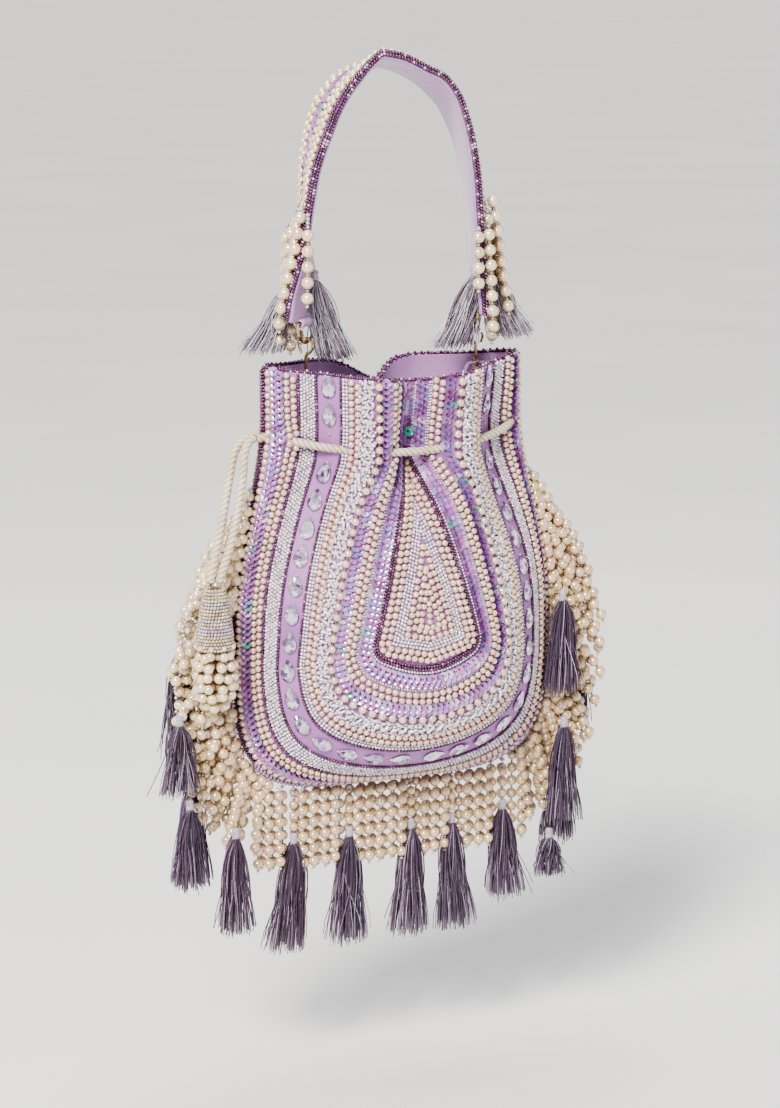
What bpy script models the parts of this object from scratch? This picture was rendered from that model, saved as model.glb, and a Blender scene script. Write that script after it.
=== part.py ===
"""Beaded potli bag: a gathered drawstring pouch that hangs from a short top handle.

Metres. +Z up, front towards -Y, origin on the underside of the handle's highest point,
where a hook or a hand carries it. The handle, its rings and its clasps are one body.
The pouch hangs from the eyes of the two clasps and swings about the line through them.
"""
import math

import bmesh
import bpy
import numpy as np
from mathutils import Matrix, Vector

# ---------------------------------------------------------------- driving dimensions
# pouch outline, in the plane of its side seams
Z_RIM = -0.1725          # rim at the side seams
Z_DIP_FRONT = -0.1805    # rim at the centre fold, front
Z_DIP_BACK = -0.1790     # rim at the centre fold, back
A_RIM = 0.081            # half width at the rim
A_WIDE = 0.100           # half width at the widest
Z_TAPER = (-0.200, -0.320)   # the sides widen between these heights
Z_CORNER = -0.325        # the rounded bottom corners start here
Z_BOTTOM = -0.428        # bottom seam at the centre
CORNER_POWER = 3.4
# depth of each half of the pouch
B_RIM, B_NECK, B_WIDE = 0.0395, 0.0340, 0.0540
Z_NECK, Z_BULGE = -0.2215, -0.335
EDGE_POWER = 0.78
# gathers at the neck
PLEAT = 0.0060
PLEAT_RIM = 0.0040
PLEAT_PITCH = 0.062
Z_PLEAT_END = -0.300
# teardrop motif
Z_APEX = -0.2255
DROP_HALF = 0.031
Z_DROP = -0.3465
# layers
T_PANEL = 0.0025
T_LINING = 0.0010
GAP = 0.0003
R_RIM_PIPING = 0.0016
R_SEAM_PIPING = 0.0015
# drawstring
D_ROPE = 0.0050
ROPE_A, ROPE_B = 0.0755, 0.0330
ROPE_RISE = 0.0095
# handle
STRAP_W = 0.036
T_STRAP = 0.0030
T_STRAP_LINING = 0.0012
HANDLE_HALF = 0.050
HANDLE_TOP = 0.0006
HANDLE_SHOULDER = -0.092
Z_HEM = -0.1465
X_HEM = 0.0562
TWIST_HEM = {-1: math.radians(48.0), 1: math.radians(20.0)}
# metal
R_RING_WIRE = 0.0010
RING_HALF = 0.0120
LOOP_W = 0.0180           # the tongue that wraps the ring's bar
R_CLASP = 0.0010
R_EYE = 0.0030
Z_PIVOT = -0.1775        # the line the pouch swings about
# bead fringe and thread tassels
Z_PEARL_END = -0.4765
FRINGE_T = 0.0070
SIDE_FRINGE_T = 0.0130
SIDE_FRINGE_OUT = 0.139
BOTTOM_TASSEL_X = (-0.0645, -0.0285, 0.0120, 0.0390, 0.0735)
TASSEL_LEN = 0.0700

for old in list(bpy.data.objects):
    bpy.data.objects.remove(old, do_unlink=True)

PART = bpy.data.collections.new("potli_bag")
CUT = bpy.data.collections.new("cutters")
bpy.context.scene.collection.children.link(PART)
bpy.context.scene.collection.children.link(CUT)


# ---------------------------------------------------------------- helpers
def material(name, colour, rough, metallic=0.0):
    m = bpy.data.materials.new(name)
    m.use_nodes = True
    p = m.node_tree.nodes["Principled BSDF"]
    p.inputs["Base Color"].default_value = (*colour, 1.0)
    p.inputs["Roughness"].default_value = rough
    p.inputs["Metallic"].default_value = metallic
    m.diffuse_color = (*colour, 1.0)
    return m


def link(ob, mat, smooth=True, where=PART):
    where.objects.link(ob)
    if mat is not None:
        ob.data.materials.clear()
        ob.data.materials.append(mat)
    if ob.type == "MESH":
        for p in ob.data.polygons:
            p.use_smooth = smooth
    return ob


def mesh_object(name, verts, faces, mat, smooth=True, merge=0.0, where=PART):
    me = bpy.data.meshes.new(name)
    bm = bmesh.new()
    vs = [bm.verts.new(v) for v in verts]
    for f in faces:
        if len(set(f)) > 2:
            bm.faces.new([vs[i] for i in f])
    if merge > 0:
        bmesh.ops.remove_doubles(bm, verts=bm.verts, dist=merge)
        bmesh.ops.dissolve_degenerate(bm, edges=bm.edges, dist=merge * 0.5)
        bmesh.ops.triangulate(bm, faces=bm.faces)
    bmesh.ops.recalc_face_normals(bm, faces=bm.faces)
    bm.to_mesh(me)
    bm.free()
    return link(bpy.data.objects.new(name, me), mat, smooth, where)


def tube(name, pts, r, mat, cyclic=False, res=2):
    cu = bpy.data.curves.new(name, "CURVE")
    cu.dimensions = "3D"
    cu.twist_mode = "MINIMUM"
    cu.bevel_depth = r
    cu.bevel_resolution = res
    cu.use_fill_caps = not cyclic
    sp = cu.splines.new("POLY")
    sp.points.add(len(pts) - 1)
    for p, q in zip(sp.points, pts):
        p.co = (*q, 1.0)
    sp.use_cyclic_u = cyclic
    return link(bpy.data.objects.new(name, cu), mat)


def lathe(name, profile, at, mat, steps=14, depth=1.0, tilt=0.0):
    """profile is (radius, height) from the top of the axis to its bottom; depth flattens it front to back."""
    me = bpy.data.meshes.new(name)
    me.from_pydata([(r, 0.0, z) for r, z in profile], [(i, i + 1) for i in range(len(profile) - 1)], [])
    ob = bpy.data.objects.new(name, me)
    sc = ob.modifiers.new("turn", "SCREW")
    sc.angle = 2 * math.pi
    sc.steps = sc.render_steps = steps
    sc.use_merge_vertices = True
    sc.merge_threshold = 0.00005
    sc.use_normal_calculate = True
    link(ob, mat)
    turned = bpy.data.meshes.new_from_object(ob.evaluated_get(bpy.context.evaluated_depsgraph_get()))
    bm = bmesh.new()
    bm.from_mesh(turned)
    bmesh.ops.recalc_face_normals(bm, faces=bm.faces)
    bm.to_mesh(turned)
    bm.free()
    turned.name = name
    ob.modifiers.clear()
    ob.data = turned
    for p in turned.polygons:
        p.use_smooth = True
    ob.location = at
    ob.scale = (1.0, depth, 1.0)
    ob.rotation_euler = (0.0, tilt, 0.0)
    return ob


def smooth01(t):
    t = min(1.0, max(0.0, t))
    return t * t * (3 - 2 * t)


def spline(points, n):
    """n points evenly along a Catmull-Rom curve through the given few."""
    p = [np.array(q, float) for q in points]
    p = [2 * p[0] - p[1]] + p + [2 * p[-1] - p[-2]]
    out = []
    for i in range(1, len(p) - 2):
        for k in range(16):
            t = k / 16
            out.append(0.5 * (2 * p[i] + (p[i + 1] - p[i - 1]) * t
                              + (2 * p[i - 1] - 5 * p[i] + 4 * p[i + 1] - p[i + 2]) * t * t
                              + (3 * p[i] - p[i - 1] - 3 * p[i + 1] + p[i + 2]) * t ** 3))
    out.append(p[-2])
    out = np.array(out)
    d = np.r_[0, np.cumsum(np.linalg.norm(np.diff(out, axis=0), axis=1))]
    s = np.linspace(0, d[-1], n)
    return np.c_[[np.interp(s, d, out[:, k]) for k in range(3)]].T


# ---------------------------------------------------------------- shape of the pouch
def half_width(z):
    """Half the distance between the side seams at height z."""
    if z >= Z_CORNER:
        return A_RIM + (A_WIDE - A_RIM) * smooth01((Z_TAPER[0] - z) / (Z_TAPER[0] - Z_TAPER[1]))
    w = min(1.0, (Z_CORNER - z) / (Z_CORNER - Z_BOTTOM))
    return A_WIDE * (1 - w ** CORNER_POWER) ** (1 / CORNER_POWER)


def half_depth(z):
    if z >= Z_NECK:
        return B_NECK + (B_RIM - B_NECK) * smooth01((z - Z_NECK) / (Z_RIM - Z_NECK))
    if z >= Z_BULGE:
        t = (Z_NECK - z) / (Z_NECK - Z_BULGE)
        return B_NECK + (B_WIDE - B_NECK) * smooth01(t ** 0.85)
    w = min(1.0, (Z_BULGE - z) / (Z_BULGE - Z_BOTTOM))
    return B_WIDE * (1 - w ** 2.4) ** 0.6


def pleat(x, z):
    a = max(half_width(z), 1e-5)
    if z >= Z_NECK:
        depth = PLEAT + (PLEAT_RIM - PLEAT) * smooth01((z - Z_NECK) / (Z_RIM - Z_NECK))
    else:
        depth = PLEAT * (1 - smooth01((Z_NECK - z) / (Z_NECK - Z_PLEAT_END)))
    window = max(0.0, 1 - abs(x / a) ** 6) ** 0.6 if a > 1e-6 else 0.0
    return -depth * math.cos(2 * math.pi * x / (PLEAT_PITCH * a / 0.084)) * window


def bulge(x, z, pleats=1.0):
    """How far the fabric stands out from the seam plane."""
    a = half_width(z)
    u = min(1.0, abs(x) / a) if a > 1e-6 else 1.0
    return half_depth(z) * (1 - u * u) ** EDGE_POWER + pleats * pleat(x, z)


def resample(curve, n):
    c = np.array(curve)
    d = np.r_[0, np.cumsum(np.linalg.norm(np.diff(c, axis=0), axis=1))]
    s = np.linspace(0, d[-1], n)
    return np.c_[np.interp(s, d, c[:, 0]), np.interp(s, d, c[:, 1])]


def seam_line(n_side, n_corner, n_base):
    """Right half of the seam, (x, z) from the rim down to the bottom centre, in three stretches."""
    side = [(half_width(z), z) for z in np.linspace(Z_RIM, -0.350, 60)]
    zs = -0.350 - (Z_CORNER * 0 + 0.066) * np.sin(np.linspace(0, math.pi / 2, 60))
    corner = [(half_width(z), z) for z in zs]
    x_end, z_end = corner[-1]
    base = []
    for x in np.linspace(x_end, 0.0, 30):
        w = (1 - (x / A_WIDE) ** CORNER_POWER) ** (1 / CORNER_POWER)
        base.append((x, Z_CORNER - w * (Z_CORNER - Z_BOTTOM)))
    return np.vstack([resample(side, n_side + 1)[:-1], resample(corner, n_corner + 1)[:-1], resample(base, n_base + 1)])


def drop_line(n_side, n_corner, n_base, z_dip):
    """Right half of the line the bead bands follow inside: centre fold, teardrop side, its corner and its base."""
    fold = [(0.0, z) for z in np.linspace(z_dip, Z_APEX, 12)]
    r = 0.008
    zc = Z_DROP + 0.006
    side = [(DROP_HALF * t ** 0.92, Z_APEX + (zc + r - Z_APEX) * t) for t in np.linspace(0, 1, 30)]
    corner = [(DROP_HALF - r + r * math.cos(t), zc + r - r * math.sin(t)) for t in np.linspace(0, math.pi / 2 * 0.9, 12)]
    xe, ze = corner[-1]
    base = [(xe * (1 - t), ze + (Z_DROP - ze) * math.sin(t * math.pi / 2)) for t in np.linspace(0, 1, 12)]
    return np.vstack([resample(fold + side, n_side + 1)[:-1], resample(corner, n_corner + 1)[:-1], resample(base, n_base + 1)])


def panel(name, front, mat):
    """One half of the pouch: a sheet lofted between the seam and the teardrop, given its thickness inwards."""
    ns, nc, nb, ng, nd = 13, 5, 3, 10, 2
    outer = seam_line(ns, nc, nb)
    inner = drop_line(ns, nc, nb, Z_DIP_FRONT if front else Z_DIP_BACK)
    sign = -1.0 if front else 1.0
    rows = []
    for (x0, z0), (x1, z1) in zip(outer, inner):
        right = [(x0 + (x1 - x0) * t, z0 + (z1 - z0) * t) for t in np.linspace(0, 1, ng + 1)]
        middle = [(x1 * c, z1) for c in np.linspace(1, -1, nd + 1)[1:-1]]
        rows.append(right + middle + [(-x, z) for x, z in reversed(right)])
    grid = np.array(rows)
    n, m = grid.shape[:2]

    def out(x, z):
        return Vector((x, sign * bulge(x, z), z))

    def normal(x, z):
        e = 0.0004
        a = half_width(z)
        xx = max(-a + 2 * e, min(a - 2 * e, x))
        zz = max(Z_BOTTOM + 2 * e, z)
        dx = (bulge(xx + e, zz) - bulge(xx - e, zz)) / (2 * e)
        dz = (bulge(xx, zz + e) - bulge(xx, zz - e)) / (2 * e)
        v = Vector((-dx, sign, -dz))
        return v.normalized()

    verts = []
    for i in range(n):
        for j in range(m):
            x, z = grid[i, j]
            p = out(x, z)
            p.y = sign * max(GAP / 2, sign * p.y)
            verts.append(p)
    for i in range(n):
        for j in range(m):
            x, z = grid[i, j]
            nn = normal(x, z)
            if i == 0:
                nn = Vector((nn.x, nn.y, 0.0)).normalized()
            p = out(x, z) - nn * T_PANEL
            p.y = sign * max(GAP / 2, sign * p.y)
            verts.append(p)
    faces = []
    half = n * m

    def quad(i, j):
        return [i * m + j, i * m + j + 1, (i + 1) * m + j + 1, (i + 1) * m + j]

    for i in range(n - 1):
        for j in range(m - 1):
            q = quad(i, j)
            faces.append(q)
            faces.append([k + half for k in reversed(q)])
    edge = [j for j in range(m)]
    for j in range(m - 1):
        faces.append([edge[j], edge[j] + half, edge[j + 1] + half, edge[j + 1]])
    for i in range(n - 1):
        a, b = i * m, (i + 1) * m
        faces.append([a, b, b + half, a + half])
        a, b = i * m + m - 1, (i + 1) * m + m - 1
        faces.append([a, a + half, b + half, b])
    return mesh_object(name, verts, faces, mat, merge=0.00004)


def rope_z(x):
    return Z_NECK + ROPE_RISE * (x / ROPE_A) ** 2


def box_cutter(name, lo, hi):
    bm = bmesh.new()
    bmesh.ops.create_cube(bm, size=1.0)
    me = bpy.data.meshes.new(name)
    for v in bm.verts:
        v.co = Vector([(l + h) / 2 + c * (h - l) for l, h, c in zip(lo, hi, v.co)])
    bm.to_mesh(me)
    bm.free()
    ob = link(bpy.data.objects.new(name, me), None, False, CUT)
    ob.hide_render = True
    ob.display_type = "WIRE"
    return ob


def cut(ob, cutter):
    mod = ob.modifiers.new(cutter.name, "BOOLEAN")
    mod.operation = "DIFFERENCE"
    mod.solver = "EXACT"
    mod.object = cutter


# ---------------------------------------------------------------- materials
M = {
    "beaded_fabric": material("beaded_fabric", (0.80, 0.70, 0.78), 0.45),
    "satin_lining": material("satin_lining", (0.55, 0.42, 0.62), 0.42),
    "plum_piping": material("plum_piping", (0.22, 0.06, 0.20), 0.35),
    "ivory_cord": material("ivory_cord", (0.83, 0.76, 0.64), 0.60),
    "gold_metal": material("gold_metal", (0.75, 0.60, 0.32), 0.25, 1.0),
    "pearl": material("pearl", (0.86, 0.79, 0.68), 0.25),
    "thread": material("thread", (0.20, 0.15, 0.25), 0.55),
    "pale_thread": material("pale_thread", (0.45, 0.38, 0.50), 0.50),
    "seed_beads": material("seed_beads", (0.60, 0.52, 0.46), 0.30),
    "satin_strap": material("satin_strap", (0.50, 0.38, 0.55), 0.42),
}

# ---------------------------------------------------------------- pouch
front = panel("front_panel", True, M["beaded_fabric"])
back = panel("back_panel", False, M["beaded_fabric"])

SLOT_H = D_ROPE / 2 + 0.0004
for side, ob in ((-1, front), (1, back)):
    for k, (x0, x1) in enumerate(((0.0062, 0.0266), (0.0334, 0.0555), (0.0611, 0.0825))):
        for s in (-1, 1):
            zc = (rope_z(x0) + rope_z(x1)) / 2
            grow = abs(rope_z(x1) - rope_z(x0)) / 2
            lo_x, hi_x = (x0, x1) if s > 0 else (-x1, -x0)
            if s < 0 and k == 2:
                lo_x = -0.0950
            y_far = side * 0.060
            y_near = side * 0.0005 if not (s < 0 and k == 2) else -side * 0.0100
            c = box_cutter("slit_%s_%d_%d" % (ob.name, k, 1 + s), (lo_x, min(y_far, y_near), zc - SLOT_H - grow),
                           (hi_x, max(y_far, y_near), zc + SLOT_H + grow))
            cut(ob, c)


def rim_z(x, sign):
    dip = Z_DIP_FRONT if sign < 0 else Z_DIP_BACK
    return dip + (Z_RIM - dip) * min(1.0, abs(x) / A_RIM)


def lining_ring(g, inset):
    """Closed ring round the lining, front half then back half; g runs from 0 at the rim to 1 at the bottom."""
    pts = []
    n = 17
    for sign in (-1, 1):
        for k in range(n):
            t = (-1 + 2 * (k + 0.5) / n) * -sign
            x = (A_RIM - 0.005) * math.sin(t * math.pi / 2)
            top = rim_z(x, sign) - 0.0012
            z = top + (Z_LINING_END - top) * g
            flat = smooth01(1 - abs(z - (Z_NECK + 0.004)) / 0.042)
            amp = PLEAT if z < Z_NECK else PLEAT + (PLEAT_RIM - PLEAT) * smooth01((z - Z_NECK) / (Z_RIM - Z_NECK))
            off = 0.0035 + (amp + 0.0004) * flat + inset
            zr = max(z - 0.0042 * smooth01((-0.300 - z) / 0.08), Z_BOTTOM + 0.0002)
            a = max(half_width(zr) - off * 1.30, 0.006)
            b = max(half_depth(zr) - off, 0.0012)
            x = a * math.sin(t * math.pi / 2)
            y = b * max(0.0, 1 - (x / a) ** 2) ** EDGE_POWER
            y += 0.96 * (1 - flat) * pleat(x * half_width(z) / a, z) * min(1.0, y / 0.004)
            pts.append((x, sign * max(y, 0.0002), z))
    return pts


Z_LINING_END = -0.4212
levels = [math.sin(math.pi / 2 * k / 14) for k in range(15)]
outer_rings = [lining_ring(g, 0.0) for g in levels]
inner_rings = [lining_ring(g, T_LINING) for g in levels[:-1]]
verts, faces = [], []
for ring in outer_rings + inner_rings:
    verts += ring
N = len(outer_rings[0])


def ring_faces(i, j, flip):
    for k in range(N):
        a, b = i * N + k, i * N + (k + 1) % N
        c, d = j * N + (k + 1) % N, j * N + k
        faces.append([a, b, c, d] if not flip else [d, c, b, a])


for i in range(len(outer_rings) - 1):
    ring_faces(i, i + 1, False)
base = len(outer_rings)
for i in range(len(inner_rings) - 1):
    ring_faces(base + i, base + i + 1, True)
ring_faces(base, 0, False)


def cap_ring(i, flip):
    """Closes a flat lens-shaped ring with strips between its front and back halves."""
    h = N // 2
    for k in range(h - 1):
        a, b = i * N + k, i * N + k + 1
        c, d = i * N + N - 2 - k, i * N + N - 1 - k
        faces.append([a, b, c, d] if not flip else [d, c, b, a])


cap_ring(len(outer_rings) - 1, False)
cap_ring(base + len(inner_rings) - 1, True)
mesh_object("lining", verts, faces, M["satin_lining"])

# piping on the rim, a closed ring that follows both folds
rim_pts = []
for sign, dip in ((-1, Z_DIP_FRONT), (1, Z_DIP_BACK)):
    xs = [half_width(Z_RIM) * math.sin(t) for t in np.linspace(-math.pi / 2, math.pi / 2, 25)]
    for x in xs[:-1]:
        x = x * -sign
        w = abs(x) / half_width(Z_RIM)
        z = dip + (Z_RIM - dip) * w
        y = bulge(x, z) if w < 1 else 0.0
        y = max(0.0, y - 0.0012)
        rim_pts.append((x * 0.988, sign * y, z + R_RIM_PIPING + GAP))
tube("rim_piping", rim_pts, R_RIM_PIPING, M["plum_piping"], cyclic=True, res=1)

# piping down the side seams and round the bottom
seam = seam_line(10, 7, 3)
seam = np.array([p for p in seam if p[1] < -0.226])
full = np.vstack([np.c_[-seam[:, 0], seam[:, 1]], seam[::-1][1:]])
tang = np.gradient(full, axis=0)
nrm = np.c_[tang[:, 1], -tang[:, 0]]
nrm /= np.linalg.norm(nrm, axis=1)[:, None]
mid = np.array([0.0, -0.30])
flip = np.sign(np.sum(nrm * (full - mid), axis=1))
nrm *= flip[:, None]
off = full + nrm * (R_SEAM_PIPING + GAP + 0.0002)
tube("seam_piping", [(x, 0.0, z) for x, z in off], R_SEAM_PIPING, M["plum_piping"], res=1)


# ---------------------------------------------------------------- drawstring
def rope_point(t):
    x = ROPE_A * math.cos(t)
    return (x, ROPE_B * math.sin(t), rope_z(x))


loop = [rope_point(t) for t in np.linspace(-math.radians(140), math.radians(140), 34)]
lead = [loop[0], (-0.0690, -0.0130, rope_z(-0.0690)), (-0.0770, -0.0046, -0.2118), (-0.0865, -0.0031, -0.2125)]
lead_a = spline(lead, 7)[1:]
lead_b = lead_a * np.array([1, -1, 1])
path = [tuple(p) for p in lead_a[::-1]] + loop + [tuple(p) for p in lead_b]
tube("drawstring", path, D_ROPE / 2, M["ivory_cord"], res=2)
CAP_AT = (-0.1215, -0.0235)
CAP_TOP = -0.2925
tails = {
    "drawstring_tail_1": [(-0.0877, -0.0031, -0.2126), (-0.0908, -0.0032, -0.2133), (-0.0960, -0.0075, -0.2200), (-0.1000, -0.0130, -0.2370),
                          (-0.1090, -0.0200, -0.2660), (-0.1188, -0.0235, -0.2905)],
    "drawstring_tail_2": [(-0.0873, 0.0031, -0.2126), (-0.0915, 0.0030, -0.2136), (-0.0985, 0.0012, -0.2200), (-0.1045, -0.0045, -0.2350),
                          (-0.1140, -0.0150, -0.2610), (-0.1242, -0.0235, -0.2905)],
}
for name, pts in tails.items():
    tube(name, [tuple(p) for p in spline(pts, 14)], D_ROPE / 2, M["ivory_cord"], res=2)
cap_profile = [(0.0, 0.0), (0.0058, -0.0004), (0.0072, -0.0060), (0.0092, -0.0180), (0.0104, -0.0280), (0.0104, -0.0345), (0.0, -0.0350)]
lathe("drawstring_cap", cap_profile, (CAP_AT[0], CAP_AT[1], CAP_TOP - 0.0015), M["seed_beads"], 16, 0.85)
cluster_profile = [(0.0, 0.0), (0.0110, -0.0004), (0.0135, -0.0080), (0.0135, -0.0240), (0.0110, -0.0340), (0.0060, -0.0372), (0.0, -0.0376)]
lathe("drawstring_pearls", cluster_profile, (CAP_AT[0], CAP_AT[1], CAP_TOP - 0.0368), M["pearl"], 16, 0.85)


# ---------------------------------------------------------------- bead fringe
def fringe_out(z):
    """Outer edge of the bead strands that hang beside the pouch."""
    if z > -0.345:
        w = min(1.0, (z + 0.345) / 0.090)
        return 0.1040 + (SIDE_FRINGE_OUT - 0.1040) * (1 - w ** 2.2) ** 0.8
    w = min(1.0, (-0.345 - z) / 0.1315)
    return 0.1010 + (SIDE_FRINGE_OUT - 0.1010) * (1 - w ** 2) ** 0.75


CLEAR = R_SEAM_PIPING * 2 + GAP + 0.0006


def seam_below(x):
    """Height just under the seam piping at x."""
    w = (1 - min(1.0, abs(x) / (A_WIDE + CLEAR)) ** CORNER_POWER) ** (1 / CORNER_POWER)
    return Z_CORNER - w * (Z_CORNER - Z_BOTTOM + CLEAR)


def slab(name, columns, t, mat):
    """A curtain: columns of (x at the top, top z, x at the bottom, bottom z), t thick."""
    verts, faces = [], []
    n = len(columns)
    for y in (-t / 2, t / 2):
        for xt, zt, xb, zb in columns:
            verts += [(xt, y, zt), (xb, y, zb)]
    m = 2 * n
    for i in range(n - 1):
        a, b, c, d = 2 * i, 2 * i + 1, 2 * i + 3, 2 * i + 2
        faces += [[a, b, c, d], [a + m, d + m, c + m, b + m], [a, d, d + m, a + m], [b, b + m, c + m, c]]
    faces += [[0, m, m + 1, 1], [m - 2, m - 1, 2 * m - 1, 2 * m - 2]]
    return mesh_object(name, verts, faces, mat, smooth=False)


edges = [-0.0720] + [v for x in BOTTOM_TASSEL_X for v in (x - 0.0078, x + 0.0078)] + [0.0810]
spans = [(edges[i], edges[i + 1]) for i in range(0, len(edges), 2)]
spans = [v for v in spans if v[1] - v[0] > 0.006]
for k, (x0, x1) in enumerate(spans, 1):
    cols = [(x, seam_below(x), x, Z_PEARL_END + 0.0015 * (x / 0.08) ** 2) for x in np.linspace(x0, x1, 4)]
    slab("fringe_bottom_%d" % k, cols, FRINGE_T, M["pearl"])

for s, name, x_in in ((-1, "left", 0.0729), (1, "right", 0.0819)):
    def inner_x(z):
        a = half_width(z) + CLEAR if z > Z_CORNER else 0
        if z <= Z_CORNER:
            w = min(1.0, (Z_CORNER - z) / (Z_CORNER - Z_BOTTOM + CLEAR))
            a = (A_WIDE + CLEAR) * (1 - w ** CORNER_POWER) ** (1 / CORNER_POWER)
        return max(a, x_in)
    for part, z0, z1, n in (("upper", -0.2600, -0.3450, 8), ("lower", -0.3454, Z_PEARL_END, 12)):
        verts, faces = [], []
        t = SIDE_FRINGE_T
        zs = np.linspace(z0, z1, n)
        for z in zs:
            xi, xo = inner_x(z), max(fringe_out(z), inner_x(z) + 0.0015)
            y = t / 2 * (0.62 + 0.38 * smooth01((z0 - z) / 0.03)) if part == "upper" else t / 2
            verts += [(s * xi, -y, z), (s * xo, -y * 0.8, z), (s * xo, y * 0.8, z), (s * xi, y, z)]
        for i in range(n - 1):
            for k in range(4):
                a, b = 4 * i + k, 4 * i + (k + 1) % 4
                faces.append([a, b, b + 4, a + 4])
        faces += [[0, 3, 2, 1], [4 * n - 4, 4 * n - 3, 4 * n - 2, 4 * n - 1]]
        mesh_object("fringe_%s_%s" % (name, part), verts, faces, M["pearl"], smooth=False)


# ---------------------------------------------------------------- thread tassels
def tassel(name, x, y, z_head, z_tip, r_tip, mat, strand=0.0, depth=0.62, tilt=0.0, steps=9):
    """A tied thread tassel: an optional strand of beads above it, a bound head and a flared skirt."""
    h = z_head - z_tip
    prof = [(0.0, strand)]
    if strand > 0:
        prof += [(0.0030, strand), (0.0030, 0.0004)]
    prof += [(0.0032, 0.0), (0.0030, -0.0060), (0.0042, -0.0110), (r_tip * 0.72, -h * 0.52), (r_tip, -h), (0.0, -h)]
    return lathe(name, prof, (x, y, z_head), mat, steps, depth, tilt)


for k, x in enumerate(BOTTOM_TASSEL_X, 1):
    zh = -0.4525 + 0.006 * smooth01((x - 0.03) / 0.06)
    tip = zh - TASSEL_LEN + (0.010 if x > 0.06 else 0.0)
    top = seam_below(x) - zh - 0.0002
    tassel("tassel_bottom_%d" % k, x, 0.0, zh, tip, 0.0120, M["thread"], strand=top, depth=0.58)
hung = (
    ("tassel_left_1", -0.1405, -0.0145, -0.3690, -0.4160, 0.0115),
    ("tassel_left_2", -0.1350, -0.0145, -0.4200, -0.4720, 0.0115),
    ("tassel_left_3", -0.1060, -0.0135, -0.4410, -0.5040, 0.0115),
    ("tassel_right_1", 0.1060, -0.0150, -0.3170, -0.3800, 0.0115),
    ("tassel_right_2", 0.1080, -0.0150, -0.3960, -0.4610, 0.0115),
    ("tassel_right_3", 0.0990, -0.0140, -0.4655, -0.4950, 0.0095),
    ("tassel_back_1", -0.1290, 0.0150, -0.3350, -0.4000, 0.0115),
    ("tassel_back_2", -0.1230, 0.0150, -0.4150, -0.4800, 0.0115),
    ("tassel_back_3", 0.1290, 0.0150, -0.3450, -0.4100, 0.0115),
    ("tassel_back_4", 0.1200, 0.0150, -0.4180, -0.4820, 0.0115),
)
for name, x, y, zh, zt, r in hung:
    tassel(name, x, y, zh, zt, r, M["thread"], depth=0.55)


# ---------------------------------------------------------------- handle
def leg_x(z):
    if z > HANDLE_SHOULDER:
        w = min(1.0, (z - HANDLE_SHOULDER) / (HANDLE_TOP - HANDLE_SHOULDER))
        return HANDLE_HALF * (1 - w ** 2.4) ** 0.62
    return HANDLE_HALF + (X_HEM - HANDLE_HALF) * (HANDLE_SHOULDER - z) / (HANDLE_SHOULDER - Z_HEM)


def leg_twist(s, z):
    return TWIST_HEM[s] * smooth01((-0.055 - z) / (-0.055 - Z_HEM)) ** 1.1


def leg_centre(s, n, z_end):
    """Centreline of one leg from the top to z_end: (point, outward direction, width direction) at each place."""
    zs = HANDLE_TOP - (HANDLE_TOP - z_end) * (np.linspace(0, 1, 400) ** 2.2)
    pts = np.array([(s * leg_x(z), 0.0, z) for z in zs])
    d = np.r_[0, np.cumsum(np.linalg.norm(np.diff(pts, axis=0), axis=1))]
    q = np.linspace(0, d[-1], n)
    pts = np.c_[[np.interp(q, d, pts[:, k]) for k in range(3)]].T
    out = []
    for i, p in enumerate(pts):
        t = pts[min(i + 1, n - 1)] - pts[max(i - 1, 0)]
        if i == 0:
            t = np.array([1.0 * s, 0, 0])
        t = t / np.linalg.norm(t)
        th = leg_twist(s, p[2])
        w = np.array([-math.sin(th), -math.cos(th), 0.0])      # towards the front edge
        w = w - t * np.dot(w, t)
        w /= np.linalg.norm(w)
        o = -np.cross(t, w) * s                                 # away from the loop
        out.append((p, o, w))
    return out


def ribbon(name, frames, width, lift, t, mat, ends=0, end_width=0.0, cols=3):
    """A flat strip t thick, its inner face lift away from the centreline; the last few frames at each end can be narrower."""
    verts, faces = [], []
    m = 2 * (cols + 1)
    for i, (p, o, w) in enumerate(frames):
        wide = end_width if ends and (i < ends or i >= len(frames) - ends) else width
        loop = [(c, 0) for c in np.linspace(-1, 1, cols + 1)] + [(c, 1) for c in np.linspace(1, -1, cols + 1)]
        for a, b in loop:
            verts.append(tuple(p + o * (lift + t * b) + w * (wide / 2) * a))
    n = len(frames)
    for i in range(n - 1):
        for k in range(m):
            a, b = m * i + k, m * i + (k + 1) % m
            if k <= cols:
                faces += [[a, b, b + m], [a, b + m, a + m]]
            else:
                faces += [[a, b, a + m], [b, b + m, a + m]]
    for row, turn in ((0, 1), (m * (n - 1), -1)):
        for k in range(cols):
            faces.append([row + v for v in (k, k + 1, m - 2 - k, m - 1 - k)][::turn])
    return mesh_object(name, verts, faces, mat, smooth=False)


N_LEG = 18
left = leg_centre(-1, N_LEG, Z_HEM)
right = leg_centre(1, N_LEG, Z_HEM)
left_up = [(p, o, w) for p, o, w in left[::-1]]
strap_frames = left_up + right[1:]
# the fold at the top shares one direction
strap_frames = [(p, (o if i != N_LEG - 1 else np.array([0, 0, 1.0])), (w if i != N_LEG - 1 else np.array([0, -1.0, 0])))
                for i, (p, o, w) in enumerate(strap_frames)]
ribbon("handle_strap", strap_frames, STRAP_W, T_STRAP_LINING / 2 + GAP, T_STRAP, M["beaded_fabric"])


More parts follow.
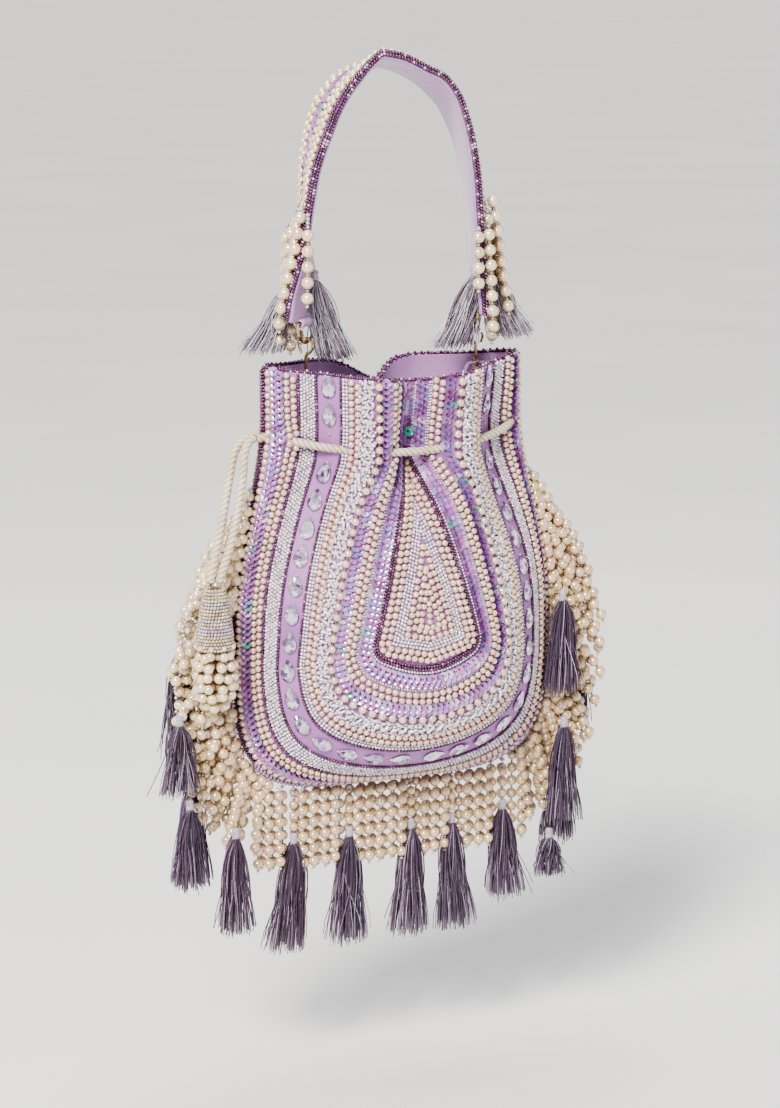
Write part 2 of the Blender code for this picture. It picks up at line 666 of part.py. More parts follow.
def hem_curl(s, end):
    """The lining runs on round the ring's bar and back up behind itself."""
    p, o, w = end
    down = np.array([0, 0, -1.0])
    w = w - down * np.dot(w, down)
    w /= np.linalg.norm(w)
    o = o - down * np.dot(o, down) - w * np.dot(o, w)
    o /= np.linalg.norm(o)
    r = R_RING_WIRE + GAP + T_STRAP_LINING / 2 + 0.0001
    c = p + down * 0.0004 - o * r
    out = []
    for k in range(0, 11):
        a = math.radians(30 * k + 4)
        out.append((c + o * r * math.cos(a) + down * r * math.sin(a), o * math.cos(a) + down * math.sin(a), w))
    return c, out


bar_l, curl_l = hem_curl(-1, left[-1])
bar_r, curl_r = hem_curl(1, right[-1])
lining_frames = curl_l[::-1] + strap_frames + curl_r
ribbon("handle_lining", lining_frames, STRAP_W * 0.985, -T_STRAP_LINING / 2, T_STRAP_LINING, M["satin_strap"],
       ends=len(curl_l), end_width=LOOP_W)
for edge, nm in ((1, "front"), (-1, "back")):
    pts = [tuple(p + o * 0.0016 + w * edge * (STRAP_W / 2 + 0.0013 + GAP)) for p, o, w in strap_frames[1:-1:2]]
    tube("handle_piping_" + nm, pts, 0.0013, M["plum_piping"], res=1)


# ---------------------------------------------------------------- rings, clasps and tabs
def d_ring(name, centre, w):
    """A wire ring with a straight bar in the hem and a half-round bow below it."""
    pts = [centre + w * x for x in np.linspace(-RING_HALF, RING_HALF, 5)]
    for k in range(1, 16):
        a = math.pi * k / 16
        pts.append(centre + w * RING_HALF * math.cos(a) + np.array([0, 0, -1.0]) * (RING_HALF * 0.98) * math.sin(a))
    tube(name, [tuple(p) for p in pts], R_RING_WIRE, M["gold_metal"], cyclic=True, res=2)
    return centre + np.array([0, 0, -RING_HALF * 0.98])


def clasp(name, s, bow, w):
    """A wire clasp: an eye below with its hole along X, a short stem and a hook over the ring's bow."""
    up = np.array([0, 0, 1.0])
    side = np.cross(w, up)
    side /= np.linalg.norm(side) * (1 if side[0] * s > 0 else -1)
    hook_c = np.array([bow[0], bow[1], bow[2] - 0.0019])
    eye_c = np.array([bow[0], 0.0, Z_PIVOT])
    pts = []
    for deg in np.linspace(90 + 46, 450, 13):
        a = math.radians(deg)
        pts.append(eye_c + np.array([0, math.cos(a) * R_EYE, math.sin(a) * R_EYE]))
    z0, z1 = pts[-1][2], hook_c[2] - 0.0052
    pts.append(np.array([bow[0], bow[1] / 2, (z0 + z1) / 2]))
    for u, v in ((0.0, -0.0050), (-0.0022, -0.0040), (-0.0038, -0.0015), (-0.0040, 0.0008), (-0.0028, 0.0030), (-0.0006, 0.0040), (0.0014, 0.0036), (0.0026, 0.0026)):
        pts.append(hook_c + side * u + up * v)
    tube(name, [tuple(p) for p in spline(pts, 30)], R_CLASP, M["gold_metal"], res=1)
    pivot = hook_c + side * 0.0031 - up * 0.0046
    lever = []
    for u, v in ((0.0, 0.0), (0.0009, 0.0022), (0.0010, 0.0044), (0.0004, 0.0058)):
        lever.append((side * u + up * v))
    pts = spline(lever, 10)
    ob = tube(name.replace("clasp", "clasp_lever"), [tuple(p) for p in pts], R_CLASP * 0.8, M["gold_metal"], res=1)
    ob.location = tuple(pivot)


for s, name, frames, bar in ((-1, "left", left, bar_l), (1, "right", right, bar_r)):
    w = frames[-1][2]
    w = w - np.array([0, 0, 1.0]) * w[2]
    w /= np.linalg.norm(w)
    bow = d_ring("ring_" + name, bar, w)
    clasp("clasp_" + name, s, bow, w)
    e = np.array([bow[0], 0.0, Z_PIVOT])
    loop_pts = [(0.0048, 0.0), (0.0, 0.0), (-0.0048, 0.0), (-0.0066, -0.0040), (-0.0058, -0.0100), (0.0010, -0.0150),
                (0.0082, -0.0170), (0.0088, -0.0120), (0.0074, -0.0050)]
    q = [e + np.array([s * u, 0, v]) for u, v in loop_pts]
    q = spline(q + [q[0]], 23)[:-1]
    tube("tab_" + name, [tuple(p) for p in q], 0.0012, M["satin_lining"], cyclic=True, res=1)


# ---------------------------------------------------------------- bead strings and tassels on the handle's ends
def string(name, s, u, lift, z0, z1, mat=None, r=0.0026):
    """A string of beads down one leg's outside, u of the strap's half width from its middle."""
    n = 7
    pts = []
    fr = leg_centre(s, 60, Z_HEM)
    zs = np.linspace(z0, z1, n)
    for z in zs:
        i = int(np.argmin([abs(p[2] - z) for p, o, w in fr]))
        p, o, w = fr[i]
        q = p + o * lift + w * u * STRAP_W / 2
        pts.append((q[0], q[1], z))
    tube(name, pts, r, mat or M["pearl"], res=1)


base_lift = T_STRAP_LINING / 2 + GAP + T_STRAP
for s, name in ((-1, "left"), (1, "right")):
    string("handle_string_%s_1" % name, s, 0.62, base_lift + 0.0037, -0.088, -0.152 if s < 0 else -0.140)
    string("handle_string_%s_2" % name, s, 0.05, base_lift + 0.0037, -0.084, -0.166)
    string("handle_string_%s_3" % name, s, -0.55, base_lift + 0.0037, -0.090, -0.160)
string("handle_string_left_4", -1, 1.38, 0.0012, -0.090, -0.138)
string("handle_string_right_4", 1, 1.38, 0.0012, -0.098, -0.134)
tassel("handle_tassel_left_1", -0.0770, 0.0060, -0.1370, -0.1615, 0.0090, M["pale_thread"], depth=0.5)
tassel("handle_tassel_left_2", -0.0385, -0.0030, -0.1330, -0.1700, 0.0100, M["pale_thread"], depth=0.5)
tassel("handle_tassel_right_1", 0.0395, -0.0045, -0.1330, -0.1640, 0.0095, M["pale_thread"], depth=0.5)
tassel("handle_tassel_right_2", 0.0780, -0.0040, -0.1350, -0.1615, 0.0105, M["pale_thread"], depth=0.5)
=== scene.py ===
"""Looks of the beaded potli bag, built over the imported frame."""
import math

import bmesh
import bpy
import numpy as np
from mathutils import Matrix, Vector


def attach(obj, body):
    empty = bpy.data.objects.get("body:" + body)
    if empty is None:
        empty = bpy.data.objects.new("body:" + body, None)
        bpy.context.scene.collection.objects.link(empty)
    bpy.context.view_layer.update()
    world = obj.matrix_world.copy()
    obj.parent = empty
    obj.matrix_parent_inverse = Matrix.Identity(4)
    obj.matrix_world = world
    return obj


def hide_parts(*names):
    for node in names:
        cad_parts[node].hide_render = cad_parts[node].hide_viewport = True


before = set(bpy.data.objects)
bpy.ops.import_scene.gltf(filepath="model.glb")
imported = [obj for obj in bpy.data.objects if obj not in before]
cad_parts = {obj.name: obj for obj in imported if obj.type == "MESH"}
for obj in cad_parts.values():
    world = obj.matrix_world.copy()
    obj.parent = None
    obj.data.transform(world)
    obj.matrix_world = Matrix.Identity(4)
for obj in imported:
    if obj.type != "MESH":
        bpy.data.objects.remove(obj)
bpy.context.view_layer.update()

rng = np.random.default_rng(11)

# ---------------------------------------------------------------- dimensions, as in the CAD
Z_RIM, Z_DIP_FRONT, Z_DIP_BACK = -0.1725, -0.1805, -0.1790
A_RIM, A_WIDE = 0.081, 0.100
Z_TAPER = (-0.200, -0.320)
Z_CORNER, Z_BOTTOM, CORNER_POWER = -0.325, -0.4225, 4.5
B_RIM, B_NECK, B_WIDE = 0.0395, 0.0340, 0.0540
Z_NECK, Z_BULGE, EDGE_POWER = -0.2215, -0.335, 0.78
PLEAT, PLEAT_RIM, PLEAT_PITCH, Z_PLEAT_END = 0.0060, 0.0040, 0.062, -0.300
Z_APEX, DROP_HALF, Z_DROP = -0.2255, 0.031, -0.3440
FOLD_DEPTH, FOLD_HALF, Z_FOLD_END = 0.0105, 0.0085, -0.268
D_ROPE, ROPE_A, ROPE_B, ROPE_RISE = 0.0050, 0.0755, 0.0330, 0.0095
STRAP_W, T_STRAP, T_STRAP_LINING = 0.036, 0.0030, 0.0012
HANDLE_HALF, HANDLE_TOP, HANDLE_SHOULDER = 0.050, 0.0006, -0.092
Z_HEM, X_HEM = -0.1465, 0.0562
TWIST_HEM = {-1: math.radians(48.0), 1: math.radians(20.0)}
Z_PEARL_END = -0.4765
SIDE_FRINGE_OUT = 0.139
BOTTOM_TASSEL_X = (-0.0645, -0.0285, 0.0120, 0.0390, 0.0735)


# ---------------------------------------------------------------- camera
cam_data = bpy.data.cameras.new("camera")
cam_data.sensor_width = 36.0
cam_data.lens = 106.44
cam_data.shift_x = -0.0018
cam_data.clip_start, cam_data.clip_end = 0.05, 50.0
cam = bpy.data.objects.new("camera", cam_data)
bpy.context.scene.collection.objects.link(cam)
cam.location = (-0.7728, -1.7357, 0.1095)
cam.rotation_euler = (Vector((0.0, 0.0, -0.2885)) - cam.location).to_track_quat("-Z", "Y").to_euler()
bpy.context.scene.camera = cam


# ---------------------------------------------------------------- materials
def new_material(name):
    m = bpy.data.materials.new(name)
    m.use_nodes = True
    nt = m.node_tree
    return m, nt, nt.nodes["Principled BSDF"]


def noise(nt, scale, detail=2.0, rough=0.5, stretch=None):
    co = nt.nodes.new("ShaderNodeTexCoord")
    n = nt.nodes.new("ShaderNodeTexNoise")
    n.inputs["Scale"].default_value = scale
    n.inputs["Detail"].default_value = detail
    n.inputs["Roughness"].default_value = rough
    if stretch:
        mp = nt.nodes.new("ShaderNodeMapping")
        mp.inputs["Scale"].default_value = stretch
        nt.links.new(co.outputs["Object"], mp.inputs["Vector"])
        nt.links.new(mp.outputs["Vector"], n.inputs["Vector"])
    else:
        nt.links.new(co.outputs["Object"], n.inputs["Vector"])
    return n


def ramp(nt, fac, stops):
    r = nt.nodes.new("ShaderNodeValToRGB")
    el = r.color_ramp.elements
    while len(el) < len(stops):
        el.new(0.5)
    for e, (p, c) in zip(el, stops):
        e.position = p
        e.color = (*c, 1.0)
    nt.links.new(fac, r.inputs["Fac"])
    return r


def bump(nt, bsdf, height, strength, distance=0.0005):
    b = nt.nodes.new("ShaderNodeBump")
    b.inputs["Strength"].default_value = strength
    b.inputs["Distance"].default_value = distance
    nt.links.new(height, b.inputs["Height"])
    nt.links.new(b.outputs["Normal"], bsdf.inputs["Normal"])


def multiply(nt, a, b, fac=1.0):
    x = nt.nodes.new("ShaderNodeMix")
    x.data_type = "RGBA"
    x.blend_type = "MULTIPLY"
    x.inputs["Factor"].default_value = fac
    nt.links.new(a, x.inputs[6])
    nt.links.new(b, x.inputs[7])
    return x.outputs[2]


def tinted(name, rough, metallic=0.0, coat=0.0, coat_rough=0.05, coat_ior=1.5, spec=0.5, shade=((0.25, (0.82, 0.80, 0.78)), (0.75, (1, 1, 1))), scale=260.0,
           bump_by=0.0, sheen=0.0, rough_range=None, ior=None, trans=0.0):
    """A material whose colour comes from each bead's own tint, worn and varied by noise."""
    m, nt, p = new_material(name)
    at = nt.nodes.new("ShaderNodeAttribute")
    at.attribute_name = "tint"
    n = noise(nt, scale)
    r = ramp(nt, n.outputs["Fac"], shade)
    nt.links.new(multiply(nt, at.outputs["Color"], r.outputs["Color"]), p.inputs["Base Color"])
    p.inputs["Roughness"].default_value = rough
    p.inputs["Metallic"].default_value = metallic
    p.inputs["Coat Weight"].default_value = coat
    p.inputs["Coat Roughness"].default_value = coat_rough
    p.inputs["Coat IOR"].default_value = coat_ior
    p.inputs["Specular IOR Level"].default_value = spec
    p.inputs["Sheen Weight"].default_value = sheen
    p.inputs["Transmission Weight"].default_value = trans
    if ior:
        p.inputs["IOR"].default_value = ior
    if rough_range:
        mr = nt.nodes.new("ShaderNodeMapRange")
        mr.inputs["To Min"].default_value, mr.inputs["To Max"].default_value = rough_range
        nt.links.new(n.outputs["Fac"], mr.inputs["Value"])
        nt.links.new(mr.outputs["Result"], p.inputs["Roughness"])
    if bump_by:
        bump(nt, p, n.outputs["Fac"], bump_by)
    return m


def fabric(name, lo, hi, rough=0.45, sheen=0.35, weave=2600.0, slow=18.0, aniso=0.0, strength=0.25):
    """Woven satin: fine crossed threads, slow colour drift."""
    m, nt, p = new_material(name)
    n = noise(nt, slow, 3.0)
    r = ramp(nt, n.outputs["Fac"], ((0.3, lo), (0.7, hi)))
    fine = noise(nt, weave * 0.35, 2.0, 0.6)
    r2 = ramp(nt, fine.outputs["Fac"], ((0.3, (0.86, 0.86, 0.86)), (0.7, (1, 1, 1))))
    nt.links.new(multiply(nt, r.outputs["Color"], r2.outputs["Color"]), p.inputs["Base Color"])
    co = nt.nodes.new("ShaderNodeTexCoord")
    waves = []
    for d in ("X", "Z"):
        w = nt.nodes.new("ShaderNodeTexWave")
        w.bands_direction = d
        w.inputs["Scale"].default_value = weave / 10
        w.inputs["Distortion"].default_value = 0.6
        nt.links.new(co.outputs["Object"], w.inputs["Vector"])
        waves.append(w)
    add = nt.nodes.new("ShaderNodeMath")
    add.operation = "ADD"
    nt.links.new(waves[0].outputs["Fac"], add.inputs[0])
    nt.links.new(waves[1].outputs["Fac"], add.inputs[1])
    bump(nt, p, add.outputs[0], strength, 0.0002)
    p.inputs["Roughness"].default_value = rough
    p.inputs["Sheen Weight"].default_value = sheen
    p.inputs["Sheen Roughness"].default_value = 0.4
    p.inputs["Anisotropic"].default_value = aniso
    return m


M = {
    "pearl": tinted("pearl_lustre", 0.24, metallic=0.10, coat=1.0, coat_rough=0.09, coat_ior=2.1, spec=0.7, rough_range=(0.16, 0.30), scale=420.0, shade=((0.25, (0.86, 0.80, 0.80)), (0.75, (1, 1, 1)))),
    "seed": tinted("glass_seed_beads", 0.20, metallic=0.12, coat=0.8, coat_rough=0.05, spec=0.8, scale=700.0, shade=((0.3, (0.78, 0.76, 0.78)), (0.7, (1, 1, 1)))),
    "sequin": tinted("sequins", 0.2, metallic=0.25, coat=0.6, spec=0.7, scale=500.0, rough_range=(0.12, 0.35)),
    "clear": tinted("clear_crystal", 0.07, metallic=0.45, coat=0.8, coat_rough=0.02, spec=1.0, ior=1.6, trans=0.30, scale=300.0, shade=((0.3, (0.9, 0.88, 0.92)), (0.7, (1, 1, 1)))),
    "thread": tinted("tassel_thread", 0.38, spec=0.5, sheen=0.3, scale=900.0, shade=((0.3, (0.55, 0.52, 0.57)), (0.7, (1, 1, 1))), bump_by=0.1),
    "panel": fabric("lilac_ground", (0.37, 0.165, 0.41), (0.50, 0.26, 0.53), 0.4, 0.25),
    "lining": fabric("satin_lining_cloth", (0.47, 0.27, 0.50), (0.62, 0.41, 0.65), 0.36, 0.4, aniso=0.4),
    "strap": fabric("strap_satin", (0.46, 0.29, 0.48), (0.58, 0.40, 0.60), 0.38, 0.4, aniso=0.4),
}


def crystal(m):
    """Facets painted inside the stones: patches of clear white as painted reflections, lilac, and dark purple as
    painted shade.
    """
    nt = m.node_tree
    p = nt.nodes["Principled BSDF"]
    co = nt.nodes.new("ShaderNodeTexCoord")
    v = nt.nodes.new("ShaderNodeTexVoronoi")
    v.inputs["Scale"].default_value = 420.0
    nt.links.new(co.outputs["Object"], v.inputs["Vector"])
    r = ramp(nt, v.outputs["Color"], ((0.15, (0.20, 0.12, 0.27)), (0.40, (0.66, 0.56, 0.74)), (0.7, (1.0, 1.0, 1.0))))
    old = p.inputs["Base Color"].links[0].from_socket
    nt.links.new(multiply(nt, old, r.outputs["Color"]), p.inputs["Base Color"])


crystal(M["clear"])


def metal(name):
    m, nt, p = new_material(name)
    n = noise(nt, 500.0, 3.0)
    r = ramp(nt, n.outputs["Fac"], ((0.3, (0.50, 0.38, 0.18)), (0.7, (0.80, 0.66, 0.38))))
    nt.links.new(r.outputs["Color"], p.inputs["Base Color"])
    mr = nt.nodes.new("ShaderNodeMapRange")
    mr.inputs["To Min"].default_value, mr.inputs["To Max"].default_value = 0.16, 0.36
    nt.links.new(n.outputs["Fac"], mr.inputs["Value"])
    nt.links.new(mr.outputs["Result"], p.inputs["Roughness"])
    p.inputs["Metallic"].default_value = 1.0
    return m


def rope_material(name):
    m, nt, p = new_material(name)
    n = noise(nt, 60.0, 3.0)
    r = ramp(nt, n.outputs["Fac"], ((0.3, (0.72, 0.60, 0.44)), (0.7, (0.88, 0.80, 0.66))))
    fine = noise(nt, 2400.0, 2.0, 0.7)
    r2 = ramp(nt, fine.outputs["Fac"], ((0.3, (0.8, 0.8, 0.8)), (0.7, (1, 1, 1))))
    # the tint attribute carries painted shade in the grooves between the cord's strands
    at = nt.nodes.new("ShaderNodeAttribute")
    at.attribute_name = "tint"
    mixed = multiply(nt, r.outputs["Color"], r2.outputs["Color"])
    nt.links.new(multiply(nt, mixed, at.outputs["Color"]), p.inputs["Base Color"])
    bump(nt, p, fine.outputs["Fac"], 0.3, 0.0003)
    p.inputs["Roughness"].default_value = 0.5
    p.inputs["Sheen Weight"].default_value = 0.3
    return m


M["gold"] = metal("pale_gold_wire")
M["rope"] = rope_material("twisted_silk_cord")


# ---------------------------------------------------------------- mesh helpers
def put(name, verts, faces, mat, body, smooth=True, tint=None):
    verts = np.asarray(verts, np.float32).reshape(-1, 3)
    me = bpy.data.meshes.new(name)
    if isinstance(faces, np.ndarray):
        m, k = faces.shape
        me.vertices.add(len(verts))
        me.vertices.foreach_set("co", verts.ravel())
        me.loops.add(m * k)
        me.loops.foreach_set("vertex_index", faces.astype(np.int32).ravel())
        me.polygons.add(m)
        me.polygons.foreach_set("loop_start", np.arange(0, m * k, k, dtype=np.int32))
        me.update(calc_edges=True)
    else:
        me.from_pydata([tuple(map(float, v)) for v in verts], [], [tuple(map(int, f)) for f in faces])
    me.validate()
    me.polygons.foreach_set("use_smooth", np.full(len(me.polygons), smooth))
    if tint is not None:
        at = me.attributes.new("tint", "FLOAT_COLOR", "POINT")
        t = np.asarray(tint, np.float32)
        if t.ndim == 1:
            t = np.tile(t, (len(verts), 1))
        at.data.foreach_set("color", np.c_[t, np.ones(len(t), np.float32)].astype(np.float32).ravel())
    ob = bpy.data.objects.new(name, me)
    bpy.context.scene.collection.objects.link(ob)
    me.materials.append(mat)
    me.update()
    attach(ob, body)
    return ob


def ico(sub):
    bm = bmesh.new()
    bmesh.ops.create_icosphere(bm, subdivisions=sub, radius=1.0)
    v = np.array([x.co[:] for x in bm.verts])
    f = np.array([[q.index for q in t.verts] for t in bm.faces])
    bm.free()
    return v, f


def sequin_shape(n=10):
    """A shallow cupped disc with a hole, on the plane z = 0."""
    a = np.linspace(0, 2 * math.pi, n, endpoint=False)
    ring = lambda r, z: np.c_[np.cos(a) * r, np.sin(a) * r, np.full(n, z)]
    v = np.vstack([ring(0.24, 0.0), ring(0.62, 0.04), ring(1.0, 0.30)])
    f = []
    for i in range(2):
        for k in range(n):
            k2 = (k + 1) % n
            f += [[i * n + k, i * n + k2, (i + 1) * n + k2], [i * n + k, (i + 1) * n + k2, (i + 1) * n + k]]
    return v, np.array(f)[:, ::-1]


def drop_shape(n=14):
    """A faceted teardrop stone, tip along +x, flat back on z = 0."""
    a = np.linspace(0, 2 * math.pi, n, endpoint=False)
    x = np.cos(a)
    y = np.sin(a) * (1 - 0.62 * np.clip(x, 0, 1) ** 1.6) * 0.98
    x = x * np.where(x > 0, 1.0, 0.72)
    rows = [(0.93, 0.0), (1.0, 0.16), (0.74, 0.42), (0.42, 0.55)]
    v = [np.c_[x * s, y * s * 0.62, np.full(n, z * 0.62)] for s, z in rows]
    v = np.vstack(v + [np.array([[0.0, 0, 0.0], [0.02, 0, 0.35]])])
    f = []
    for i in range(3):
        for k in range(n):
            k2 = (k + 1) % n
            f += [[i * n + k, i * n + k2, (i + 1) * n + k2], [i * n + k, (i + 1) * n + k2, (i + 1) * n + k]]
    c0, c1 = 4 * n, 4 * n + 1
    for k in range(n):
        k2 = (k + 1) % n
        f += [[k2, k, c0], [3 * n + k, 3 * n + k2, c1]]
    return v, np.array(f)


def tube_bead(n=6):
    """A short glass tube, along x, half length 1, radius 1."""
    a = np.linspace(0, 2 * math.pi, n, endpoint=False)
    v = np.vstack([np.c_[np.full(n, x), np.cos(a) * r, np.sin(a) * r] for x, r in ((-1, 0.75), (-0.85, 1.0), (0.85, 1.0), (1, 0.75))])
    f = []
    for i in range(3):
        for k in range(n):
            k2 = (k + 1) % n
            f += [[i * n + k, (i + 1) * n + k2, i * n + k2], [i * n + k, (i + 1) * n + k, (i + 1) * n + k2]]
    return v, np.array(f)


def grain():
    """The plainest bead, for the smallest ones of the back and of the strands."""
    v = np.array([(1, 0, 0), (-1, 0, 0), (0, 1, 0), (0, -1, 0), (0, 0, 1), (0, 0, -1)], float) * 1.16
    f = np.array([(0, 2, 4), (2, 1, 4), (1, 3, 4), (3, 0, 4), (2, 0, 5), (1, 2, 5), (3, 1, 5), (0, 3, 5)])
    return v, f


SHAPES = {"pearl": ico(2), "seed": ico(1), "sequin": sequin_shape(), "clear": drop_shape(), "bugle": tube_bead(), "grain": grain()}


class Pile:
    """Beads of one kind on one body, merged into few meshes."""

    def __init__(self):
        self.items = {}

    def add(self, kind, pos, scale, tint, rot=None):
        pos = np.atleast_2d(pos).astype(float)
        n = len(pos)
        if n == 0:
            return
        scale = np.broadcast_to(np.asarray(scale, float).reshape((-1, 1)) if np.ndim(scale) == 1 and len(np.atleast_1d(scale)) == n and np.ndim(scale) != 2
                                else np.asarray(scale, float), (n, 3)) if np.ndim(scale) != 0 else np.full((n, 3), float(scale))
        tint = np.broadcast_to(np.asarray(tint, float), (n, 3))
        rot = np.broadcast_to(np.eye(3), (n, 3, 3)) if rot is None else rot
        self.items.setdefault(kind, []).append((pos, scale, tint, rot))

    def build(self, name, body, slots, replaces=(), small="seed"):
        made = []
        for kind, parts in self.items.items():
            pos, scale, tint, rot = (np.concatenate([p[i] for p in parts]) for i in range(4))
            bv, bf = SHAPES[small if kind == "seed" else kind]
            per = max(1, 190000 // len(bf))
            for c in range(0, len(pos), per):
                s = slice(c, c + per)
                v = np.einsum("nij,nkj->nki", rot[s], bv[None] * scale[s][:, None, :]) + pos[s][:, None, :]
                f = bf[None] + (np.arange(len(v)) * len(bv))[:, None, None]
                t = np.repeat(tint[s], len(bv), axis=0)
                suffix = "" if c == 0 else "_%d" % (c // per + 1)
                mat = {"bugle": "seed"}.get(kind, kind)
                ob = put("%s_%ss%s" % (name, kind, suffix), v.reshape(-1, 3), f.reshape(-1, 3), M[mat], body, kind != "clear", t)
                made.append(ob)
        if made and replaces:
            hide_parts(*replaces)
        return made


def vary(colour, n, amount=0.05, hue=0.02):
    c = np.tile(np.array(colour, float), (n, 1))
    c *= 1 + rng.normal(0, amount, (n, 1))
    c += rng.normal(0, hue, (n, 3))
    return np.clip(c, 0.01, 1.0)


PEARL = (0.76, 0.58, 0.46)
# the next colour is a darker, warmer copy of the pearl colour for pearls that hang in shade: painted shade with painted
# warm bounce light
PEARL_SHADED = (0.68, 0.525, 0.335)
PEARL_IVORY = (0.81, 0.68, 0.47)
PLUM = (0.155, 0.048, 0.130)
SILVER = (0.80, 0.74, 0.78)
GOLD_SEED = (0.62, 0.47, 0.26)
LILACS = np.array([(0.54, 0.30, 0.66), (0.62, 0.30, 0.66), (0.56, 0.34, 0.70), (0.68, 0.36, 0.68), (0.50, 0.40, 0.74), (0.56, 0.26, 0.60), (0.62, 0.44, 0.72)])


def lilac(n):
    c = LILACS[rng.integers(0, len(LILACS), n)] * (1 + rng.normal(0, 0.12, (n, 1)))
    # about 2 in 100 sequins are teal and 7 in 100 near white: painted glints
    glint_roll = rng.random(n)
    c[glint_roll < 0.018] = (0.22, 0.62, 0.52)
    c[(glint_roll > 0.018) & (glint_roll < 0.09)] = (0.86, 0.78, 0.90)
    return np.clip(c, 0.02, 1)


# ---------------------------------------------------------------- the pouch's surface
def smooth01(t):
    t = np.clip(t, 0, 1)
    return t * t * (3 - 2 * t)


def half_width(z):
    z = np.asarray(z, float)
    up = A_RIM + (A_WIDE - A_RIM) * smooth01((Z_TAPER[0] - z) / (Z_TAPER[0] - Z_TAPER[1]))
    w = np.clip((Z_CORNER - z) / (Z_CORNER - Z_BOTTOM), 0, 1)
    return np.where(z >= Z_CORNER, up, A_WIDE * (1 - w ** CORNER_POWER) ** (1 / CORNER_POWER))


def half_depth(z):
    z = np.asarray(z, float)
    a = B_NECK + (B_RIM - B_NECK) * smooth01((z - Z_NECK) / (Z_RIM - Z_NECK))
    t = np.clip((Z_NECK - z) / (Z_NECK - Z_BULGE), 0, 1)
    b = B_NECK + (B_WIDE - B_NECK) * smooth01(t ** 0.85)
    w = np.clip((Z_BULGE - z) / (Z_BULGE - Z_BOTTOM), 0, 1)
    c = B_WIDE * (1 - w ** 2.5) ** 0.5
    return np.where(z >= Z_NECK, a, np.where(z >= Z_BULGE, b, c))


def pleat(x, z):
    x, z = np.asarray(x, float), np.asarray(z, float)
    a = np.maximum(half_width(z), 1e-5)
    up = PLEAT + (PLEAT_RIM - PLEAT) * smooth01((z - Z_NECK) / (Z_RIM - Z_NECK))
    dn = PLEAT * (1 - smooth01((Z_NECK - z) / (Z_NECK - Z_PLEAT_END)))
    depth = np.where(z >= Z_NECK, up, dn)
    window = np.clip(1 - np.abs(x / a) ** 6, 0, 1) ** 0.6
    fold = FOLD_DEPTH * smooth01((z - Z_FOLD_END) / 0.048) * np.exp(-((x / FOLD_HALF) ** 2))
    # the cord runs behind the cloth between its last slit and the left seam
    tuck = 0.0062 * np.exp(-(((z - rope_z(x)) / 0.0056) ** 2)) * smooth01((-0.0635 - x) / 0.0055) * np.clip(1 - np.abs(x / a) ** 9, 0, 1)
    return -depth * np.cos(2 * math.pi * x / (PLEAT_PITCH * a / 0.084)) * window - fold + tuck


def rope_z(x):
    return Z_NECK + ROPE_RISE * (x / ROPE_A) ** 2


def sag(sign, x, z):
    """The rim drops where the middle fold pulls it in."""
    return -(0.0085 if sign > 0 else 0.0015) * np.exp(-((x / 0.013) ** 2)) * smooth01((z + 0.207) / 0.027)


def bulge(x, z):
    a = half_width(z)
    u = np.clip(np.abs(x) / np.maximum(a, 1e-6), 0, 1)
    return half_depth(z) * (1 - u * u) ** EDGE_POWER + pleat(x, z)


def resample2(curve, n):
    c = np.array(curve)
    d = np.r_[0, np.cumsum(np.linalg.norm(np.diff(c, axis=0), axis=1))]
    s = np.linspace(0, d[-1], n)
    return np.c_[[np.interp(s, d, c[:, k]) for k in range(c.shape[1])]].T


def seam_line(n_side, n_corner, n_base):
    side = [(float(half_width(z)), z) for z in np.linspace(Z_RIM, -0.350, 60)]
    zs = -0.350 - 0.0605 * np.sin(np.linspace(0, math.pi / 2, 60))
    corner = [(float(half_width(z)), z) for z in zs]
    base = []
    for x in np.linspace(corner[-1][0], 0.0, 30):
        w = (1 - (x / A_WIDE) ** CORNER_POWER) ** (1 / CORNER_POWER)
        base.append((x, Z_CORNER - w * (Z_CORNER - Z_BOTTOM)))
    return np.vstack([resample2(side, n_side + 1)[:-1], resample2(corner, n_corner + 1)[:-1], resample2(base, n_base + 1)])


def drop_line(n_side, n_corner, n_base, z_dip):
    fold = [(0.0, z) for z in np.linspace(z_dip, Z_APEX, 12)]
    r, zc = 0.008, Z_DROP + 0.006
    side = [(DROP_HALF * t ** 0.92, Z_APEX + (zc + r - Z_APEX) * t) for t in np.linspace(0, 1, 30)]
    corner = [(DROP_HALF - r + r * math.cos(t), zc + r - r * math.sin(t)) for t in np.linspace(0, math.pi / 2 * 0.9, 12)]
    xe, ze = corner[-1]
    base = [(xe * (1 - t), ze + (Z_DROP - ze) * math.sin(t * math.pi / 2)) for t in np.linspace(0, 1, 12)]
    return np.vstack([resample2(fold + side, n_side + 1)[:-1], resample2(corner, n_corner + 1)[:-1], resample2(base, n_base + 1)])


